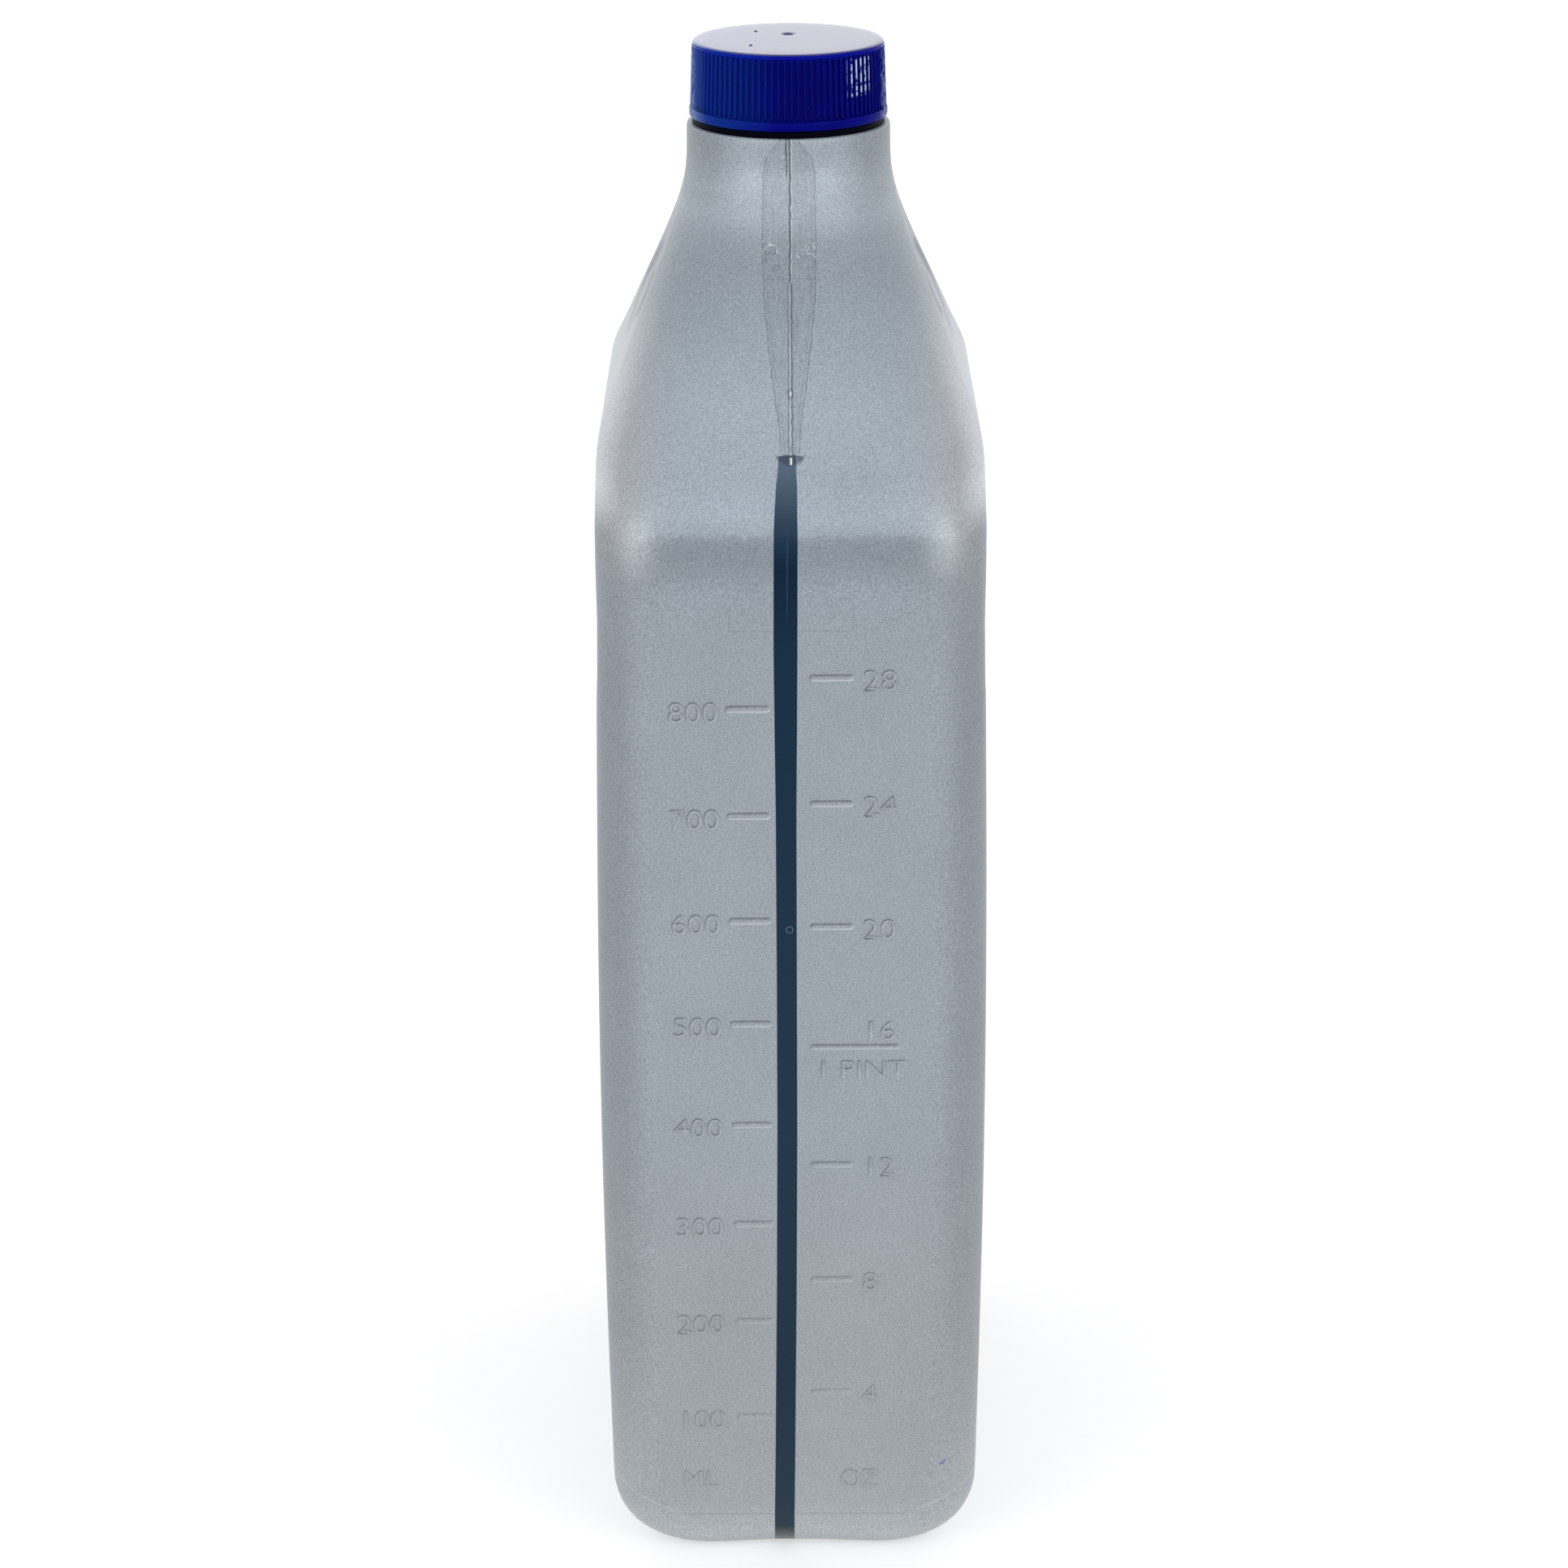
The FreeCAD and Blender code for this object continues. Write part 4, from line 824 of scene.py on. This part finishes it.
def raised_ring(sizes, z):
    """Section of the outer skin at height z with its relief."""
    half_x, half_y, corner = section_sizes(sizes, z, 0.0, 0.0)
    points = full_ring(half_x, half_y, corner, z)
    if z < 185.0 or z > 229.0:
        return points
    lower = section_sizes(sizes, z - 0.5, 0.0, 0.0)
    upper = section_sizes(sizes, z + 0.5, 0.0, 0.0)
    lean_x, lean_y = lower[0] - upper[0], lower[1] - upper[1]
    count = len(points)
    raised = []
    for index, point in enumerate(points):
        run = points[(index + 1) % count] - points[index - 1]
        outward = Vector((run.y, -run.x, 0.0)).normalized()
        outward.z = abs(outward.x) * lean_x + abs(outward.y) * lean_y
        raised.append(point + outward.normalized() * shell_relief(sizes, point.x, point.y, z))
    return raised


def base_arch(point):
    """Lift the edge of the base a little in the middle of each narrow face."""
    lift = 0.45 * smooth_step(15.0, 2.0, abs(point.x)) * smooth_step(20.0, 44.0, abs(point.y))
    point.z += lift * smooth_step(6.0, 0.0, point.z)
    return point


def thread_rise(thread, x, y, z):
    """Height of a screw thread's ridge at a place on the neck, from 0 to 1."""
    start_z, first, last, half_root, half_crest = thread
    turn = (math.atan2(y, x) / (2 * math.pi)) % 1.0
    best = 0.0
    for lap in range(3):
        place = turn + lap
        ends = smooth_step(first - 0.015, first + 0.015, place) * smooth_step(last + 0.015, last - 0.015, place)
        away = abs(z - (start_z + THREAD_PITCH * place))
        best = max(best, ends * min(1.0, max(0.0, (half_root - away) / (half_root - half_crest))))
    return best


def round_ring(radius, z):
    """Round section with the shell's columns."""
    return full_ring(radius, radius, radius, z)


def shell_heights():
    """Heights of the outer rings: close in the base rounding, over the seam and under the collar."""
    found = [11.2 * (1 - math.cos(math.radians(7.5 * step))) for step in range(12)]
    z = 12.5
    while z < BODY_TOP - 1.0:
        found.append(z)
        z += 3.0
    z = BODY_TOP
    while z < 185.0:
        found.append(z)
        z += 1.0
    while z < COLLAR_TOP - 0.35:
        found.append(z)
        z += 0.5
    return found


def outer_rings(sizes):
    """Rings from the middle of the base up the outside and the neck to the rim."""
    margin = DISH_MARGIN
    flat_x, flat_y, corner = section_sizes(sizes, 0.0, 0.0, 0.0)
    rings = [full_ring(flat_x - margin - 3.0, flat_y - margin - 3.0, 2.0, DISH_DEPTH),
             full_ring(flat_x - margin, flat_y - margin, 3.0, 0.0)]
    for z in shell_heights():
        rings.append([base_arch(point) for point in raised_ring(sizes, z)])
    for radius, z in ((16.05, 229.0), (15.98, 229.18), (15.85, 229.27), (15.7, 229.3), (12.8, 229.3),
                      (12.6, 229.45), (NECK_ROOT, 229.6), (NECK_ROOT, 230.25), (13.5, 230.3),
                      (BEAD_RADIUS, 230.45), (BEAD_RADIUS, 230.75), (13.5, 230.9), (NECK_ROOT, 230.95)):
        rings.append(round_ring(radius, z))
    z = 231.25
    while z < NECK_RIM - 0.5:
        ring = []
        for point in round_ring(NECK_ROOT, z):
            rise = thread_rise(NECK_THREAD, point.x, point.y, z)
            grown = (NECK_ROOT + THREAD_HEIGHT * rise) / NECK_ROOT
            ring.append(Vector((point.x * grown, point.y * grown, z)))
        rings.append(ring)
        z += 0.25
    for radius, z in ((12.5, 239.35), (12.35, 239.6), (12.1, 239.7), (10.8, 239.7), (10.5, 239.6),
                      (NECK_BORE, 239.3), (NECK_BORE, 233.0), (NECK_BORE, 227.0)):
        rings.append(round_ring(radius, z))
    return rings


def inner_rings(sizes):
    """Rings from the foot of the bore down the inside of the wall to the floor."""
    wall = sizes.wall / MM
    rings = []
    for z in (225.0, 223.0, 221.0, 218.0, 214.0, 210.0, 206.0, 202.0, 198.0, 194.0, 190.0, 186.0, 182.0, 178.0,
              174.0, 168.0, 160.0, 130.0, 100.0, 70.0, 40.0, 20.0, 12.2, 9.0, 6.5, 4.5, 3.2, 2.4, FLOOR_TOP):
        half_x, half_y, corner = section_sizes(sizes, z, wall, FLOOR_TOP)
        share = smooth_step(221.0, 227.0, z)
        half_x += (NECK_BORE - half_x) * share
        half_y += (NECK_BORE - half_y) * share
        corner = min(half_x, half_y) if share > 0 else corner
        rings.append(full_ring(half_x, half_y, corner, z))
    return rings


def close_rings(name, rings, material, smooth_angle):
    """Mesh object with faces between neighbouring rings and a fan at both ends, facing outwards."""
    count = len(rings[0])
    points = [point * MM for ring in rings for point in ring]
    faces = []
    for row in range(len(rings) - 1):
        for column in range(count):
            a = row * count + column
            b = row * count + (column + 1) % count
            faces.append((a, b, b + count, a + count))
    for row, forward in ((0, False), (len(rings) - 1, True)):
        middle = sum((point for point in rings[row]), Vector()) / count
        points.append(middle * MM)
        centre = len(points) - 1
        for column in range(count):
            a = row * count + column
            b = row * count + (column + 1) % count
            faces.append((a, b, centre) if forward else (b, a, centre))
    mesh = bpy.data.meshes.new(name)
    mesh.from_pydata(points, [], faces)
    mesh.materials.append(material)
    mesh.validate()
    mesh.shade_smooth()
    mesh.set_sharp_from_angle(angle=math.radians(smooth_angle))
    piece = bpy.data.objects.new(name, mesh)
    bpy.context.scene.collection.objects.link(piece)
    return piece


class BOTTLE_OT_shell(bpy.types.Operator):
    """Build the blow-moulded shell with its neck finish"""
    bl_idname = "bottle.shell"
    bl_label = "Blow-moulded shell"

    def execute(self, context):
        sizes = context.scene.bottle_sizes
        material = shell_material(context.scene.bottle_colours)
        piece = close_rings("bottle_shell", outer_rings(sizes) + inner_rings(sizes), material, 40.0)
        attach(piece, "bottle")
        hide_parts("bottle")
        return {"FINISHED"}


def text_mesh(words, height, place_x, place_z, align, width_scale=1.0):
    """Points and faces of one raised word on the narrow face, its strokes rounded."""
    curve = bpy.data.curves.new("word", "FONT")
    curve.body = words
    curve.size = height / 0.72
    curve.align_x = align
    curve.extrude = 0.13
    curve.bevel_depth = 0.12
    curve.bevel_resolution = 2
    curve.resolution_u = 4
    curve.offset = -0.12
    holder = bpy.data.objects.new("word", curve)
    bpy.context.scene.collection.objects.link(holder)
    bpy.context.view_layer.update()
    mesh = bpy.data.meshes.new_from_object(holder.evaluated_get(bpy.context.evaluated_depsgraph_get()))
    bpy.data.objects.remove(holder)
    turn = Matrix.Translation((place_x, 0.0, place_z)) @ Matrix.Rotation(math.radians(90), 4, "X")
    mesh.transform(turn @ Matrix.Diagonal((width_scale, 1.0, 1.0, 1.0)))
    return mesh


def bar_mesh(low, high, z, width):
    """Closed mark with rounded ends and a rounded back, in the plane of the narrow face."""
    radius = width / 2
    outlines = []
    for shrink, depth in ((0.0, 0.2), (0.0, 0.03), (0.06, -0.08), (0.17, -0.16), (0.33, -0.22), (0.5, -0.25)):
        ring = []
        for centre, start in ((high - radius, -90), (low + radius, 90)):
            for step in range(9):
                angle = math.radians(start + 22.5 * step)
                ring.append((centre + (radius - shrink) * math.cos(angle), depth,
                             z + (radius - shrink) * math.sin(angle)))
        outlines.append(ring)
    points = [point for ring in outlines for point in ring]
    count = len(outlines[0])
    last = len(points) - count
    faces = [tuple(reversed(range(count))), tuple(range(last, last + count))]
    for row in range(len(outlines) - 1):
        for column in range(count):
            a = row * count + column
            b = row * count + (column + 1) % count
            faces.append((a, b, b + count, a + count))
    mesh = bpy.data.meshes.new("bar")
    mesh.from_pydata(points, [], faces)
    return mesh


def join_meshes(name, meshes, material):
    """One object from several meshes; its edge attribute holds how far each point faces up and left."""
    points, faces = [], []
    for mesh in meshes:
        start = len(points)
        points.extend(vertex.co.copy() for vertex in mesh.vertices)
        faces.extend(tuple(start + index for index in polygon.vertices) for polygon in mesh.polygons)
        bpy.data.meshes.remove(mesh)
    joined = bpy.data.meshes.new(name)
    joined.from_pydata(points, [], faces)
    joined.materials.append(material)
    joined.validate()
    edge = joined.attributes.new("edge", "FLOAT", "POINT")
    for vertex in joined.vertices:
        edge.data[vertex.index].value = vertex.normal.z - 0.45 * vertex.normal.x
    piece = bpy.data.objects.new(name, joined)
    bpy.context.scene.collection.objects.link(piece)
    return piece


class BOTTLE_OT_marks(bpy.types.Operator):
    """Build the raised volume marks and their numerals"""
    bl_idname = "bottle.marks"
    bl_label = "Volume marks"

    def execute(self, context):
        sizes = context.scene.bottle_sizes
        digit = sizes.digit / MM
        meshes = []
        for number in range(1, 9):
            z = 8.5 + 17.5 * number
            meshes.append(bar_mesh(-9.3 - 0.12 * number, -3.25, z, 1.25))
            meshes.append(text_mesh(str(100 * number), digit, -11.15, z - 2.1, "RIGHT", 1.12))
        for number in range(1, 8):
            z = 10.0 + 20.5 * number
            pint = number == 4
            meshes.append(bar_mesh(2.7, 16.85 if pint else 9.6, z, 1.05 if pint else 1.2))
            meshes.append(text_mesh(str(4 * number), digit, 10.95, z + (1.2 if pint else -2.0), "LEFT", 1.12))
            if pint:
                meshes.append(text_mesh("1 PINT", digit * 0.95, 3.5, z - 5.4, "LEFT", 1.1))
        meshes.append(text_mesh("ML", digit * 0.95, -12.5, 12.95, "RIGHT", 1.04))
        meshes.append(text_mesh("OZ", digit, 7.4, 12.85, "LEFT", 0.92))
        material = bpy.data.materials["flake_polyethylene"]
        piece = join_meshes("volume_marks", meshes, material)
        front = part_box("bottle")[0].y + 0.25 * MM
        piece.data.transform(Matrix.Translation((0.0, front, 0.0)) @ Matrix.Scale(MM, 4))
        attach(piece, "bottle")
        return {"FINISHED"}


def cap_profile():
    """Half section of the cap from the middle of its top, over the skirt, to the middle of its inside."""
    top = [(radius, 242.2 - 0.002 * radius) for radius in (1.0, 2.0, 2.4, 2.8, 3.2, 3.6, 4.0, 4.4, 4.8, 5.2,
                                                             5.6, 6.5, 8.0, 11.0, 14.0)]
    edge = [(14.6 + 0.42 * math.sin(math.radians(a)), 241.74 + 0.42 * math.cos(math.radians(a)))
            for a in range(15, 91, 15)]
    skirt = [(15.04, 241.42), (14.95, 241.38), (14.75, 241.36), (14.92, 236.6), (15.1, 232.1), (15.14, 231.9),
             (15.4, 231.86), (15.55, 231.78), (15.65, 231.6), (15.65, 230.7), (15.58, 230.5), (15.45, 230.4),
             (14.15, 230.4), (14.0, 230.45), (CAP_BORE, 230.6)]
    thread = [(CAP_BORE, 231.0 + 0.25 * step) for step in range(32)]
    crown = [(CAP_BORE, 239.6), (CAP_BORE, 240.6), (13.8, 240.8), (13.5, CAP_BORE_TOP), (6.0, CAP_BORE_TOP),
             (0.5, CAP_BORE_TOP)]
    return top + edge + skirt, thread + crown


def cap_rings():
    """Rings of the cap without its ribs."""
    outside, inside = cap_profile()
    rings = []
    for number, (radius, z) in enumerate(outside + inside):
        ring = []
        for column in range(CAP_COLUMNS):
            angle = 2 * math.pi * column / CAP_COLUMNS
            c, s = math.cos(angle), math.sin(angle)
            reach = radius
            if number >= len(outside) and radius == CAP_BORE:
                reach -= THREAD_HEIGHT * thread_rise(CAP_THREAD, c, s, z)
            gate = math.hypot(reach * c, reach * s - GATE_Y) if z > 242.0 else 9.0
            dip = 0.34 * smooth_step(1.25, 0.6, gate)
            ring.append(Vector((reach * c, reach * s, z - dip)))
        rings.append(ring)
    return list(reversed(rings))


def rib_tree(material):
    """Geometry nodes that set grip ribs round a skirt: half-round bars that taper with it, ends rounded."""
    tree = bpy.data.node_groups.new("cap_ribs", "GeometryNodeTree")
    face = tree.interface
    face.new_socket("Geometry", in_out="INPUT", socket_type="NodeSocketGeometry")
    for name, default in (("Depth", 0.0003), ("Width", 0.0007), ("Root Foot", 0.0151), ("Root Top", 0.01475),
                          ("Foot Z", 0.2319), ("Top Z", 0.2406)):
        face.new_socket(name, in_out="INPUT", socket_type="NodeSocketFloat").default_value = default
    face.new_socket("Ribs", in_out="INPUT", socket_type="NodeSocketInt").default_value = 94
    face.new_socket("Geometry", in_out="OUTPUT", socket_type="NodeSocketGeometry")
    source = add_node(tree, "NodeGroupInput").node.outputs
    depth, width, root_foot, root_top = source["Depth"], source["Width"], source["Root Foot"], source["Root Top"]
    bar = add_node(tree, "GeometryNodeMeshCylinder", {"Vertices": 10, "Side Segments": 14, "Radius": 1.0,
                                                       "Depth": 1.0})
    place = add_node(tree, "GeometryNodeInputPosition")
    parts = add_node(tree, "ShaderNodeSeparateXYZ", [place]).node.outputs
    rise = add_node(tree, "ShaderNodeMath", [parts[2], 0.5], operation="ADD")
    rise = add_node(tree, "ShaderNodeMath", [1.0, rise], operation="SUBTRACT")
    rise = add_node(tree, "ShaderNodeMath", [rise, 2.2], operation="POWER")
    rise = add_node(tree, "ShaderNodeMath", [1.0, rise], operation="SUBTRACT")
    radius = add_node(tree, "ShaderNodeMix", [rise, None, root_foot, root_top])
    outward = add_node(tree, "ShaderNodeMath", [parts[0], depth, radius], operation="MULTIPLY_ADD")
    height = add_node(tree, "ShaderNodeMix", [rise, None, source["Foot Z"], source["Top Z"]])

    # Half width: narrow below, and at the top grown along a half circle, so that the flutes end in arches
    pitch = add_node(tree, "ShaderNodeMath", [math.pi, source["Ribs"]], operation="DIVIDE")
    half_pitch = add_node(tree, "ShaderNodeMath", [pitch, root_top], operation="MULTIPLY")
    half_width = add_node(tree, "ShaderNodeMath", [width, 0.5], operation="MULTIPLY")
    flute = add_node(tree, "ShaderNodeMath", [half_pitch, half_width], operation="SUBTRACT")
    arch = add_node(tree, "ShaderNodeMath", [source["Top Z"], flute], operation="SUBTRACT")
    arch = add_node(tree, "ShaderNodeMath", [height, arch], operation="SUBTRACT")
    arch = add_node(tree, "ShaderNodeMath", [arch, 0.0], operation="MAXIMUM")
    arch = add_node(tree, "ShaderNodeMath", [arch, arch], operation="MULTIPLY")
    open_part = add_node(tree, "ShaderNodeMath", [flute, flute], operation="MULTIPLY")
    open_part = add_node(tree, "ShaderNodeMath", [open_part, arch], operation="SUBTRACT")
    open_part = add_node(tree, "ShaderNodeMath", [open_part, 0.0], operation="MAXIMUM")
    open_part = add_node(tree, "ShaderNodeMath", [open_part], operation="SQRT")
    half_width = add_node(tree, "ShaderNodeMath", [half_pitch, open_part], operation="SUBTRACT")
    across = add_node(tree, "ShaderNodeMath", [parts[1], half_width], operation="MULTIPLY")
    spot = add_node(tree, "ShaderNodeCombineXYZ", [outward, across, height])
    bar = add_node(tree, "GeometryNodeSetPosition", {"Geometry": bar, "Position": spot})
    circle = add_node(tree, "GeometryNodeMeshCircle", {"Vertices": source["Ribs"], "Radius": 0.0001})
    points = add_node(tree, "GeometryNodeMeshToPoints", {"Mesh": circle})
    home = add_node(tree, "GeometryNodeSetPosition", {"Geometry": points, "Position": (0.0, 0.0, 0.0)})
    index = add_node(tree, "GeometryNodeInputIndex")
    share = add_node(tree, "ShaderNodeMath", [index, source["Ribs"]], operation="DIVIDE")
    angle = add_node(tree, "ShaderNodeMath", [share, 2 * math.pi], operation="MULTIPLY")
    turn = add_node(tree, "ShaderNodeCombineXYZ", [0.0, 0.0, angle])
    turn = add_node(tree, "FunctionNodeEulerToRotation", [turn])
    ribs = add_node(tree, "GeometryNodeInstanceOnPoints", {"Points": home, "Instance": bar, "Rotation": turn})
    ribs = add_node(tree, "GeometryNodeRealizeInstances", [ribs])
    ribs = add_node(tree, "GeometryNodeSetShadeSmooth", [ribs])
    join = add_node(tree, "GeometryNodeJoinGeometry")
    tree.links.new(source["Geometry"], join.node.inputs[0])
    tree.links.new(ribs, join.node.inputs[0])
    painted = add_node(tree, "GeometryNodeSetMaterial", {"Geometry": join, "Material": material})
    add_node(tree, "NodeGroupOutput", {"Geometry": painted})
    return tree


def apply_tree(piece, tree, values):
    """Run a geometry tree on a piece with these inputs, and keep the result as its plain mesh."""
    modifier = piece.modifiers.new("ribs", "NODES")
    modifier.node_group = tree
    for item in tree.interface.items_tree:
        if item.in_out == "INPUT" and item.name in values:
            modifier[item.identifier] = values[item.name]
    piece.update_tag()
    bpy.context.view_layer.update()
    result = bpy.data.meshes.new_from_object(piece.evaluated_get(bpy.context.evaluated_depsgraph_get()))
    piece.modifiers.remove(modifier)
    old = piece.data
    name = old.name
    piece.data = result
    bpy.data.meshes.remove(old)
    result.name = name


class BOTTLE_OT_cap(bpy.types.Operator):
    """Build the ribbed screw cap"""
    bl_idname = "bottle.cap"
    bl_label = "Screw cap"

    def execute(self, context):
        sizes = context.scene.bottle_cap
        material = cap_material(context.scene.bottle_colours, "blue_polypropylene", 0.36, 0.04, 0.1)
        polished = cap_material(context.scene.bottle_colours, "polished_polypropylene", 0.16, 0.55,
                                0.02)
        piece = close_rings("cap_shell", cap_rings(), material, 40.0)
        apply_tree(piece, rib_tree(material),
                   {"Depth": sizes.rib_depth, "Width": sizes.rib_width, "Root Foot": sizes.root_foot,
                    "Root Top": sizes.root_top, "Foot Z": sizes.rib_foot_z, "Top Z": sizes.rib_top_z,
                    "Ribs": sizes.ribs})
        piece.data.materials.clear()
        piece.data.materials.append(material)
        piece.data.materials.append(polished)
        for polygon in piece.data.polygons:
            polygon.material_index = 1 if polygon.center.z > 241.9 * MM else 0
        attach(piece, "cap")
        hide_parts("cap")
        return {"FINISHED"}


def paint(node, material):
    """Give a carried-over solid its finish."""
    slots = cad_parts[node].material_slots
    if not slots:
        raise RuntimeError("no material slot on " + node)
    for entry in slots:
        entry.link = "OBJECT"
        entry.material = material


class BOTTLE_OT_solids(bpy.types.Operator):
    """Give the band, the liner, the labels and the oil their finishes"""
    bl_idname = "bottle.solids"
    bl_label = "Band, liner, labels and oil"

    def execute(self, context):
        colours = context.scene.bottle_colours
        paint("tamper_band", band_material(colours))
        paint("cap_liner", liner_material())
        film = label_material(colours)
        paint("front_label", film)
        paint("back_label", film)
        paint("motor_oil", oil_material(colours))
        return {"FINISHED"}


def seen_directly(tree):
    """One for rays from the camera, through clear parts or off a shine, and none for diffuse light."""
    rays = add_node(tree, "ShaderNodeLightPath").node.outputs
    direct = add_node(tree, "ShaderNodeMath", [rays["Is Camera Ray"], rays["Is Transmission Ray"]],
                      operation="MAXIMUM")
    return add_node(tree, "ShaderNodeMath", [direct, rays["Is Glossy Ray"]], operation="MAXIMUM")


def floor_material():
    """Seamless white studio sheet."""
    material, tree, shader = new_material("studio_sheet")
    place, x, y, z = millimetres(tree)
    cloud = add_node(tree, "ShaderNodeTexNoise", {"Vector": place, "Scale": 0.002, "Detail": 1.0})
    tint = set_ramp(add_node(tree, "ShaderNodeValToRGB", [cloud]), [(0.0, "#CDCDCD"), (1.0, "#D0D0D0")])
    tree.links.new(tint, shader.inputs["Base Color"])
    shader.inputs["Roughness"].default_value = 0.9

    # White where it is seen directly or in a shine; the sheet glows more where the lamps no longer reach
    far = add_node(tree, "ShaderNodeVectorMath", [place], output="Value", operation="LENGTH")
    glow = add_node(tree, "ShaderNodeMapRange", [far, 250.0, 1600.0, 0.48, 0.6])
    glow = add_node(tree, "ShaderNodeMath", [glow, seen_directly(tree)], operation="MULTIPLY")
    shader.inputs["Emission Color"].default_value = (1.0, 1.0, 1.0, 1.0)
    tree.links.new(glow, shader.inputs["Emission Strength"])
    return material


def add_lamp(name, place, target, size, power):
    """Large soft area lamp that looks at a target."""
    lamp = bpy.data.lights.new(name, "AREA")
    lamp.shape = "RECTANGLE"
    lamp.size, lamp.size_y = size
    lamp.energy = power
    holder = bpy.data.objects.new(name, lamp)
    holder.location = place
    holder.rotation_euler = (Vector(target) - Vector(place)).to_track_quat("-Z", "Y").to_euler()
    bpy.context.scene.collection.objects.link(holder)


def light_world(strength):
    """Soft white sky: brightest half way up, dimmer overhead and near the horizon, as in a studio tent.
    Seen directly, in a shine or through something clear, it is plain white."""
    world = bpy.data.worlds.new("studio")
    bpy.context.scene.world = world
    world.use_nodes = True
    tree = world.node_tree
    way = add_node(tree, "ShaderNodeTexCoord", output="Object")
    rise = add_node(tree, "ShaderNodeSeparateXYZ", [way], output=2)
    level = set_ramp(add_node(tree, "ShaderNodeValToRGB", [rise]),
                     [(0.1, 0.25), (0.34, 1.0), (0.62, 1.0), (0.82, 0.6), (0.94, 0.35)], "EASE")
    level = add_node(tree, "ShaderNodeMath", [level, strength], operation="MULTIPLY")
    level = add_node(tree, "ShaderNodeMix", [seen_directly(tree), None, level, 1.0])
    back = tree.nodes["Background"]
    back.inputs["Color"].default_value = (1.0, 1.0, 1.0, 1.0)
    tree.links.new(level, back.inputs["Strength"])


class BOTTLE_OT_studio(bpy.types.Operator):
    """Set up the floor, the lamps and the camera"""
    bl_idname = "bottle.studio"
    bl_label = "Studio"

    def execute(self, context):
        studio = context.scene.bottle_studio
        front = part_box("bottle")[0].y + 0.25 * MM
        target = Vector((0.0, front, studio.target_z))
        mesh = bpy.data.meshes.new("studio_floor")
        half = 6.0
        mesh.from_pydata([(-half, -half, 0.0), (half, -half, 0.0), (half, half, 0.0), (-half, half, 0.0)], [],
                         [(0, 1, 2, 3)])
        mesh.materials.append(floor_material())
        floor = bpy.data.objects.new("studio_floor", mesh)
        context.scene.collection.objects.link(floor)
        light_world(studio.ambient)
        add_lamp("left_lamp", (-0.9, -1.1, 0.9), (0.0, 0.0, 0.12), (0.8, 0.8), studio.key)
        add_lamp("right_lamp", (0.9, -1.1, 0.9), (0.0, 0.0, 0.12), (0.8, 0.8), studio.key)
        add_lamp("back_lamp", (0.0, 1.5, 0.75), (0.0, 0.0, 0.2), (3.4, 1.1), studio.back)
        add_lamp("top_lamp", (0.0, -1.2, 0.95), (0.0, 0.0, 0.15), (0.8, 0.6), studio.top)
        camera = bpy.data.cameras.new("camera")
        camera.sensor_width = 36.0
        camera.lens = studio.lens
        camera.clip_start = 0.02
        camera.clip_end = 50.0
        holder = bpy.data.objects.new("camera", camera)
        context.scene.collection.objects.link(holder)
        ahead = Vector((0.0, math.cos(studio.pitch), -math.sin(studio.pitch)))
        turn = Matrix.Rotation(math.pi / 2 - studio.pitch, 4, "X") @ Matrix.Rotation(studio.roll, 4, "Z")
        place = target - ahead * studio.distance + Vector((studio.side, 0.0, 0.0))
        holder.matrix_world = Matrix.Translation(place) @ turn
        context.scene.camera = holder
        context.scene.view_settings.view_transform = "Standard"
        return {"FINISHED"}


class BOTTLE_PT_panel(bpy.types.Panel):
    """Lists the pieces and their sizes"""
    bl_idname = "BOTTLE_PT_panel"
    bl_label = "Motor oil bottle"
    bl_space_type = "VIEW_3D"
    bl_region_type = "UI"
    bl_category = "Oil bottle"

    def draw(self, context):
        layout = self.layout
        for group in GROUPS:
            box = layout.box()
            holder = getattr(context.scene, group)
            for name in holder.bl_rna.properties.keys():
                if name not in ("rna_type", "name"):
                    box.prop(holder, name)
        for operator in STEPS:
            layout.operator(operator.bl_idname)


GROUPS = {"bottle_sizes": BottleSizes, "bottle_cap": CapSizes, "bottle_colours": FinishColours,
          "bottle_studio": StudioSettings}
STEPS = (BOTTLE_OT_shell, BOTTLE_OT_marks, BOTTLE_OT_cap, BOTTLE_OT_solids, BOTTLE_OT_studio)


def register():
    for group in GROUPS.values():
        bpy.utils.register_class(group)
    for name, group in GROUPS.items():
        setattr(bpy.types.Scene, name, PointerProperty(type=group))
    for step in STEPS:
        bpy.utils.register_class(step)
    bpy.utils.register_class(BOTTLE_PT_panel)


def unregister():
    bpy.utils.unregister_class(BOTTLE_PT_panel)
    for step in reversed(STEPS):
        bpy.utils.unregister_class(step)
    for name, group in reversed(GROUPS.items()):
        delattr(bpy.types.Scene, name)
        bpy.utils.unregister_class(group)


def main():
    """Build every piece and the studio."""
    register()
    bpy.ops.bottle.shell()
    bpy.ops.bottle.marks()
    bpy.ops.bottle.cap()
    bpy.ops.bottle.solids()
    bpy.ops.bottle.studio()


if __name__ == "__main__":
    main()
